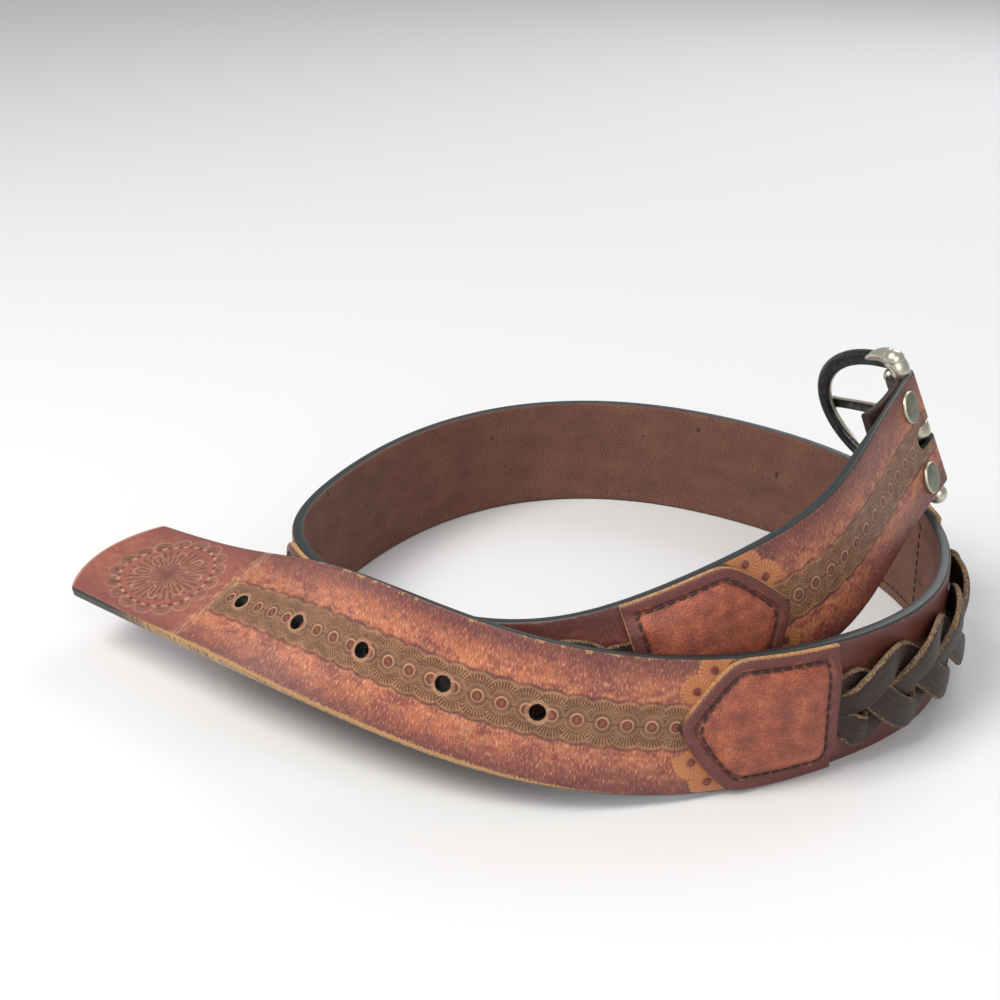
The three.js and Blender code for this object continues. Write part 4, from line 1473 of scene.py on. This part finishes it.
@dataclass
class Buckle:
    """The frame with its bar, knuckles and scroll, and the tongue."""

    strap: Strap
    angle: float = 58.0
    inner_width: float = 40.0
    band: float = 4.8
    depth: float = 3.4
    reach: float = 50.0
    arm: float = 8.0
    side_play: float = 0.7
    knuckle: float = 6.4
    tongue_width: float = 4.6
    tongue_thickness: float = 2.2
    tongue_arch: float = 1.6
    bow_steps: int = 120
    bar_steps: int = 30
    eye_steps: int = 48
    shank_section: int = 20
    rub_angle: float = -28.0

    def axes(self) -> Matrix:
        """The buckle's own axes: X from bar to bow, Y along the bar, Z its front."""
        seat = LIE.rigid(self.strap.bar_along, 0, self.strap.bar_out)
        return seat @ Matrix.Rotation(math.radians(self.angle), 4, "Y")

    def bow(self) -> tuple[Array, Array]:
        """Middle line of the bow and its sideways direction."""
        half = self.inner_width / 2 + self.band / 2
        reach = self.reach - self.band / 2
        turns = np.linspace(0, math.pi, self.bow_steps)
        x = np.concatenate([[0], self.arm + (reach - self.arm) * np.sin(turns), [0]])
        y = np.concatenate([[half], half * np.cos(turns), [-half]])
        line = np.stack([x, y + self.side_play, np.zeros_like(x)], axis=1)
        gaps = np.concatenate([[0], np.cumsum(np.linalg.norm(np.diff(line, axis=0), axis=1))])
        even = np.linspace(0, gaps[-1], self.bow_steps)
        line = np.stack([np.interp(even, gaps, line[:, k]) for k in range(3)], axis=1)
        return line, np.cross(UP, unit(np.gradient(line, axis=0)))

    def frame_piece(self, material: bpy.types.Material) -> None:
        """Bow, bar, knuckles and scroll as one casting."""
        piece = MetalPiece(self.axes())
        line, sideways = self.bow()
        share = np.linspace(0, 1, len(line))
        swell = 1 + 0.06 * np.sin(math.pi * share)
        steps = 24
        shape = swept(line, sideways, self.band * swell, self.depth * swell, steps, 0.75)
        # The inner edge towards the back is rubbed bright
        towards = np.tile(full_turn(steps), len(line))
        inner_side = -np.cos(towards - math.radians(self.rub_angle))
        facing = sideways[:, 0] * line[:, 0]
        sign = -1.0 if facing.mean() < 0 else 1.0
        mid = np.repeat(np.exp(-((share - 0.5) / 0.33) ** 6), steps)
        piece.add(shape, np.clip((sign * inner_side - 0.72) * 3.2, 0, 1) * mid)
        half = self.inner_width / 2 + self.band / 2
        count = self.bar_steps
        bar = np.stack([np.zeros(count), np.linspace(-half, half, count) + self.side_play,
                        np.zeros(count)], axis=1)
        sizes = np.full(count, self.strap.bar_radius * 2)
        piece.add(swept(bar, np.tile([1.0, 0, 0], (count, 1)), sizes, sizes, 20, 1.0))
        for sign_y in (-1, 1):
            out = half + (self.knuckle - self.band) / 2
            centre = Matrix.Translation((0, sign_y * out + self.side_play, 0))
            profile = [(max(self.knuckle / 2 * math.sin(a), 0.02), -self.knuckle / 2
                        * math.cos(a)) for a in np.linspace(0, math.pi, 17)]
            piece.lathe(profile, 24, centre, 0.9)
        self.scroll(piece, half)
        finished(piece.object("buckle_frame_metal"), Body.BUCKLE, material,
                 ["buckle_frame"])

    def scroll(self, piece: MetalPiece, half: float) -> None:
        """A leaf that leaves the bow, rolls over the upper knuckle and ends in a ball."""
        top = half + self.side_play
        knots = [(17.0, top - 0.8, 0), (12.0, top + 0.4, 0), (6.5, top + 1.7, 0),
                 (1.6, top + 1.6, 0), (-1.4, top - 1.4, 0), (-1.0, top - 5.4, 0),
                 (2.0, top - 7.6, 0), (5.0, top - 6.6, 0), (5.4, top - 4.2, 0)]
        line = smooth_line(knots, 72)
        sideways = np.cross(UP, unit(np.gradient(line, axis=0)))
        share = np.linspace(0, 1, 72)
        widths = 0.6 + 3.9 * np.sin(math.pi * np.clip(share * 1.1, 0, 1)) ** 0.8
        heights = 1.4 + 4.6 * np.sin(math.pi * np.clip(share * 1.05, 0, 1)) ** 0.7
        piece.add(swept(line, sideways, widths, heights, 18, 0.9), 1.0)
        ball = Matrix.Translation((4.0, top - 4.9, 0))
        profile = [(max(2.3 * math.sin(a), 0.02), -2.6 * math.cos(a))
                   for a in np.linspace(0, math.pi, 15)]
        piece.lathe(profile, 22, ball, 0.9)

    def tongue_piece(self, material: bpy.types.Material) -> None:
        """Eye round the bar and arched shank, with a tip that laps over the bow."""
        piece = MetalPiece(self.axes())
        eye_in = self.strap.bar_radius + self.strap.gap
        eye_out = self.strap.fold_outer - self.strap.gap
        rest = self.depth / 2 + self.strap.gap + self.tongue_thickness / 2
        steps = 40
        share = np.linspace(0, 1, steps)
        x = share * (self.reach - 0.6)
        z = ((eye_in + eye_out) / 2 * (1 - share) + rest * share
             + self.tongue_arch * np.sin(math.pi * share))
        line = np.stack([x, np.zeros(steps), z], axis=1)
        wide = self.tongue_width * (1 - 0.26 * smooth(share * 1.4 - 0.2))
        wide = wide + 0.5 * smooth((share - 0.93) / 0.04)
        thick = (eye_out - eye_in) + (self.tongue_thickness - eye_out + eye_in) * smooth(share * 5)
        around_bar = full_turn(self.shank_section)
        bright = np.tile(np.clip((np.abs(np.cos(around_bar)) - 0.75) * 4, 0, 1), steps)
        piece.add(swept(line, np.tile([0.0, 1.0, 0], (steps, 1)), wide, thick,
                        self.shank_section, 0.6), bright * 0.8)
        count = self.eye_steps
        around = np.linspace(0.15, 2 * math.pi - 0.15, count)
        middle_r = (eye_in + eye_out) / 2
        ring = np.stack([middle_r * np.sin(around), np.zeros(count), middle_r * np.cos(around)],
                        axis=1)
        piece.add(swept(ring, np.tile([0.0, 1.0, 0], (count, 1)),
                        np.full(count, self.tongue_width), np.full(count, eye_out - eye_in),
                        16, 0.55), 0.8)
        finished(piece.object("buckle_tongue_metal"), Body.TONGUE, material,
                 ["buckle_tongue"])

    def build(self, frame_finish: MetalFinish, tongue_finish: MetalFinish) -> None:
        """Builds the frame and the tongue."""
        self.frame_piece(frame_finish.material())
        self.tongue_piece(tongue_finish.material())


@dataclass
class Snaps:
    """The two snaps through the fold."""

    strap: Strap
    diameter: float = 9.8
    cap: float = 1.7
    post: float = 2.8
    button: float = 5.6
    button_height: float = 1.0

    def snap(self, sign: int, name: str, material: bpy.types.Material) -> None:
        """Cap, post and back button of one snap."""
        along = LIE.length - self.strap.fold_to_snaps
        matrix = LIE.rigid(along, sign * self.strap.snap_spacing / 2, 0)
        piece = MetalPiece(matrix)
        r, base = self.diameter / 2, HALF_THICK + 0.05
        back = self.strap.flap_back
        profile = [
            (0.05, base + self.cap * 0.86), (r * 0.3, base + self.cap * 0.85),
            (r * 0.6, base + self.cap * 0.8), (r * 0.8, base + self.cap * 0.74),
            (r * 0.86, base + self.cap * 0.70), (r * 0.885, base + self.cap * 0.62),
            (r * 0.92, base + self.cap * 0.66), (r * 0.96, base + self.cap * 0.60),
            (r * 0.99, base + self.cap * 0.42), (r, base + self.cap * 0.2), (r, base),
            (self.post / 2, base), (self.post / 2, back - 0.05), (self.button / 2, back - 0.05),
            (self.button / 2, back - self.button_height * 0.5),
            (self.button * 0.38, back - self.button_height), (0.05, back - self.button_height),
        ]
        rubbed = np.repeat([0, 0, 0, 0, 0, 0, 0.5, 1, 0.8, 0.4, 0, 0, 0, 0, 0, 0, 0], 48)
        piece.lathe(profile, 48, Matrix.Identity(4), rubbed)
        finished(piece.object(f"{name}_metal"), Body.BELT, material, [name])

    def build(self, finish: MetalFinish) -> None:
        """Builds both snaps."""
        material = finish.material()
        self.snap(-1, "snap_lower", material)
        self.snap(1, "snap_upper", material)


# Studio


@dataclass
class Studio:
    """Camera, floor and lights."""

    camera_place: tuple[float, float, float] = (-5.87, -453.6, 248.2)
    pitch: float = 24.28
    focal_pixels: float = 1629.0
    image_pixels: float = 1000.0
    sensor: float = 36.0
    floor_size: float = 4.0
    floor_colour: Colour = srgb(226, 226, 226)
    world_colour: Colour = (0.9, 0.92, 0.95)
    world_strength: float = 0.45
    lamps: tuple[tuple[str, tuple[float, float, float], float, float, Colour], ...] = (
        ("key", (-0.7, -0.35, 1.1), 0.7, 15, (1.0, 0.98, 0.95)),
        ("front", (0.3, -1.2, 0.7), 0.9, 7, (1.0, 0.98, 0.96)),
        ("back", (0.6, 1.0, 0.9), 0.8, 6, (0.96, 0.98, 1.0)))

    def camera(self) -> None:
        """The photograph's viewpoint."""
        data = bpy.data.cameras.new("camera")
        data.sensor_width = self.sensor
        data.lens = self.focal_pixels / self.image_pixels * self.sensor
        data.clip_start = 0.01
        camera = linked("camera", data)
        camera.location = Vector(self.camera_place) * MM
        camera.rotation_euler = (math.radians(90 - self.pitch), 0, 0)
        bpy.context.scene.camera = camera

    def floor(self) -> None:
        """A plain pale floor."""
        half = self.floor_size / 2
        corners = np.array([(-half, -half, 0), (half, -half, 0), (half, half, 0),
                            (-half, half, 0)])
        floor = mesh_object("floor", corners, [[0, 1, 2, 3]])
        g = Graph("floor")
        floor.data.materials.append(g.finish(self.floor_colour, 0.75))

    def light(self, name: str, place: Vector, size: float, power: float,
              colour: Colour) -> None:
        """One soft lamp that looks at the belt."""
        data = bpy.data.lights.new(name, "AREA")
        data.energy, data.size, data.color = power, size, colour
        lamp = linked(name, data)
        lamp.location = place
        lamp.rotation_euler = (Vector((0, 0, 0.03)) - place).to_track_quat("-Z", "Y").to_euler()

    def build(self) -> None:
        """Sets the scene."""
        self.camera()
        self.floor()
        for name, place, size, power, colour in self.lamps:
            self.light(name, Vector(place), size, power, colour)
        world = bpy.data.worlds.new("studio")
        world.use_nodes = True
        background = world.node_tree.nodes["Background"].inputs
        background["Color"].default_value = (*self.world_colour, 1)
        background["Strength"].default_value = self.world_strength
        bpy.context.scene.world = world
        bpy.context.scene.view_settings.view_transform = "Standard"


def main() -> None:
    """Builds the belt piece by piece and logs each piece's face count."""
    logging.basicConfig(level=logging.INFO, format="%(message)s")
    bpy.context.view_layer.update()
    Studio().build()
    strap = Strap()
    strap.build(StrapFinish())
    Patches().build(PatchFinish(), ThreadFinish())
    Braids().build(ThongFinish())
    Buckle(strap).build(BUCKLE_METAL, TONGUE_METAL)
    Snaps(strap).build(SNAP_METAL)


if __name__ == "__main__":
    main()
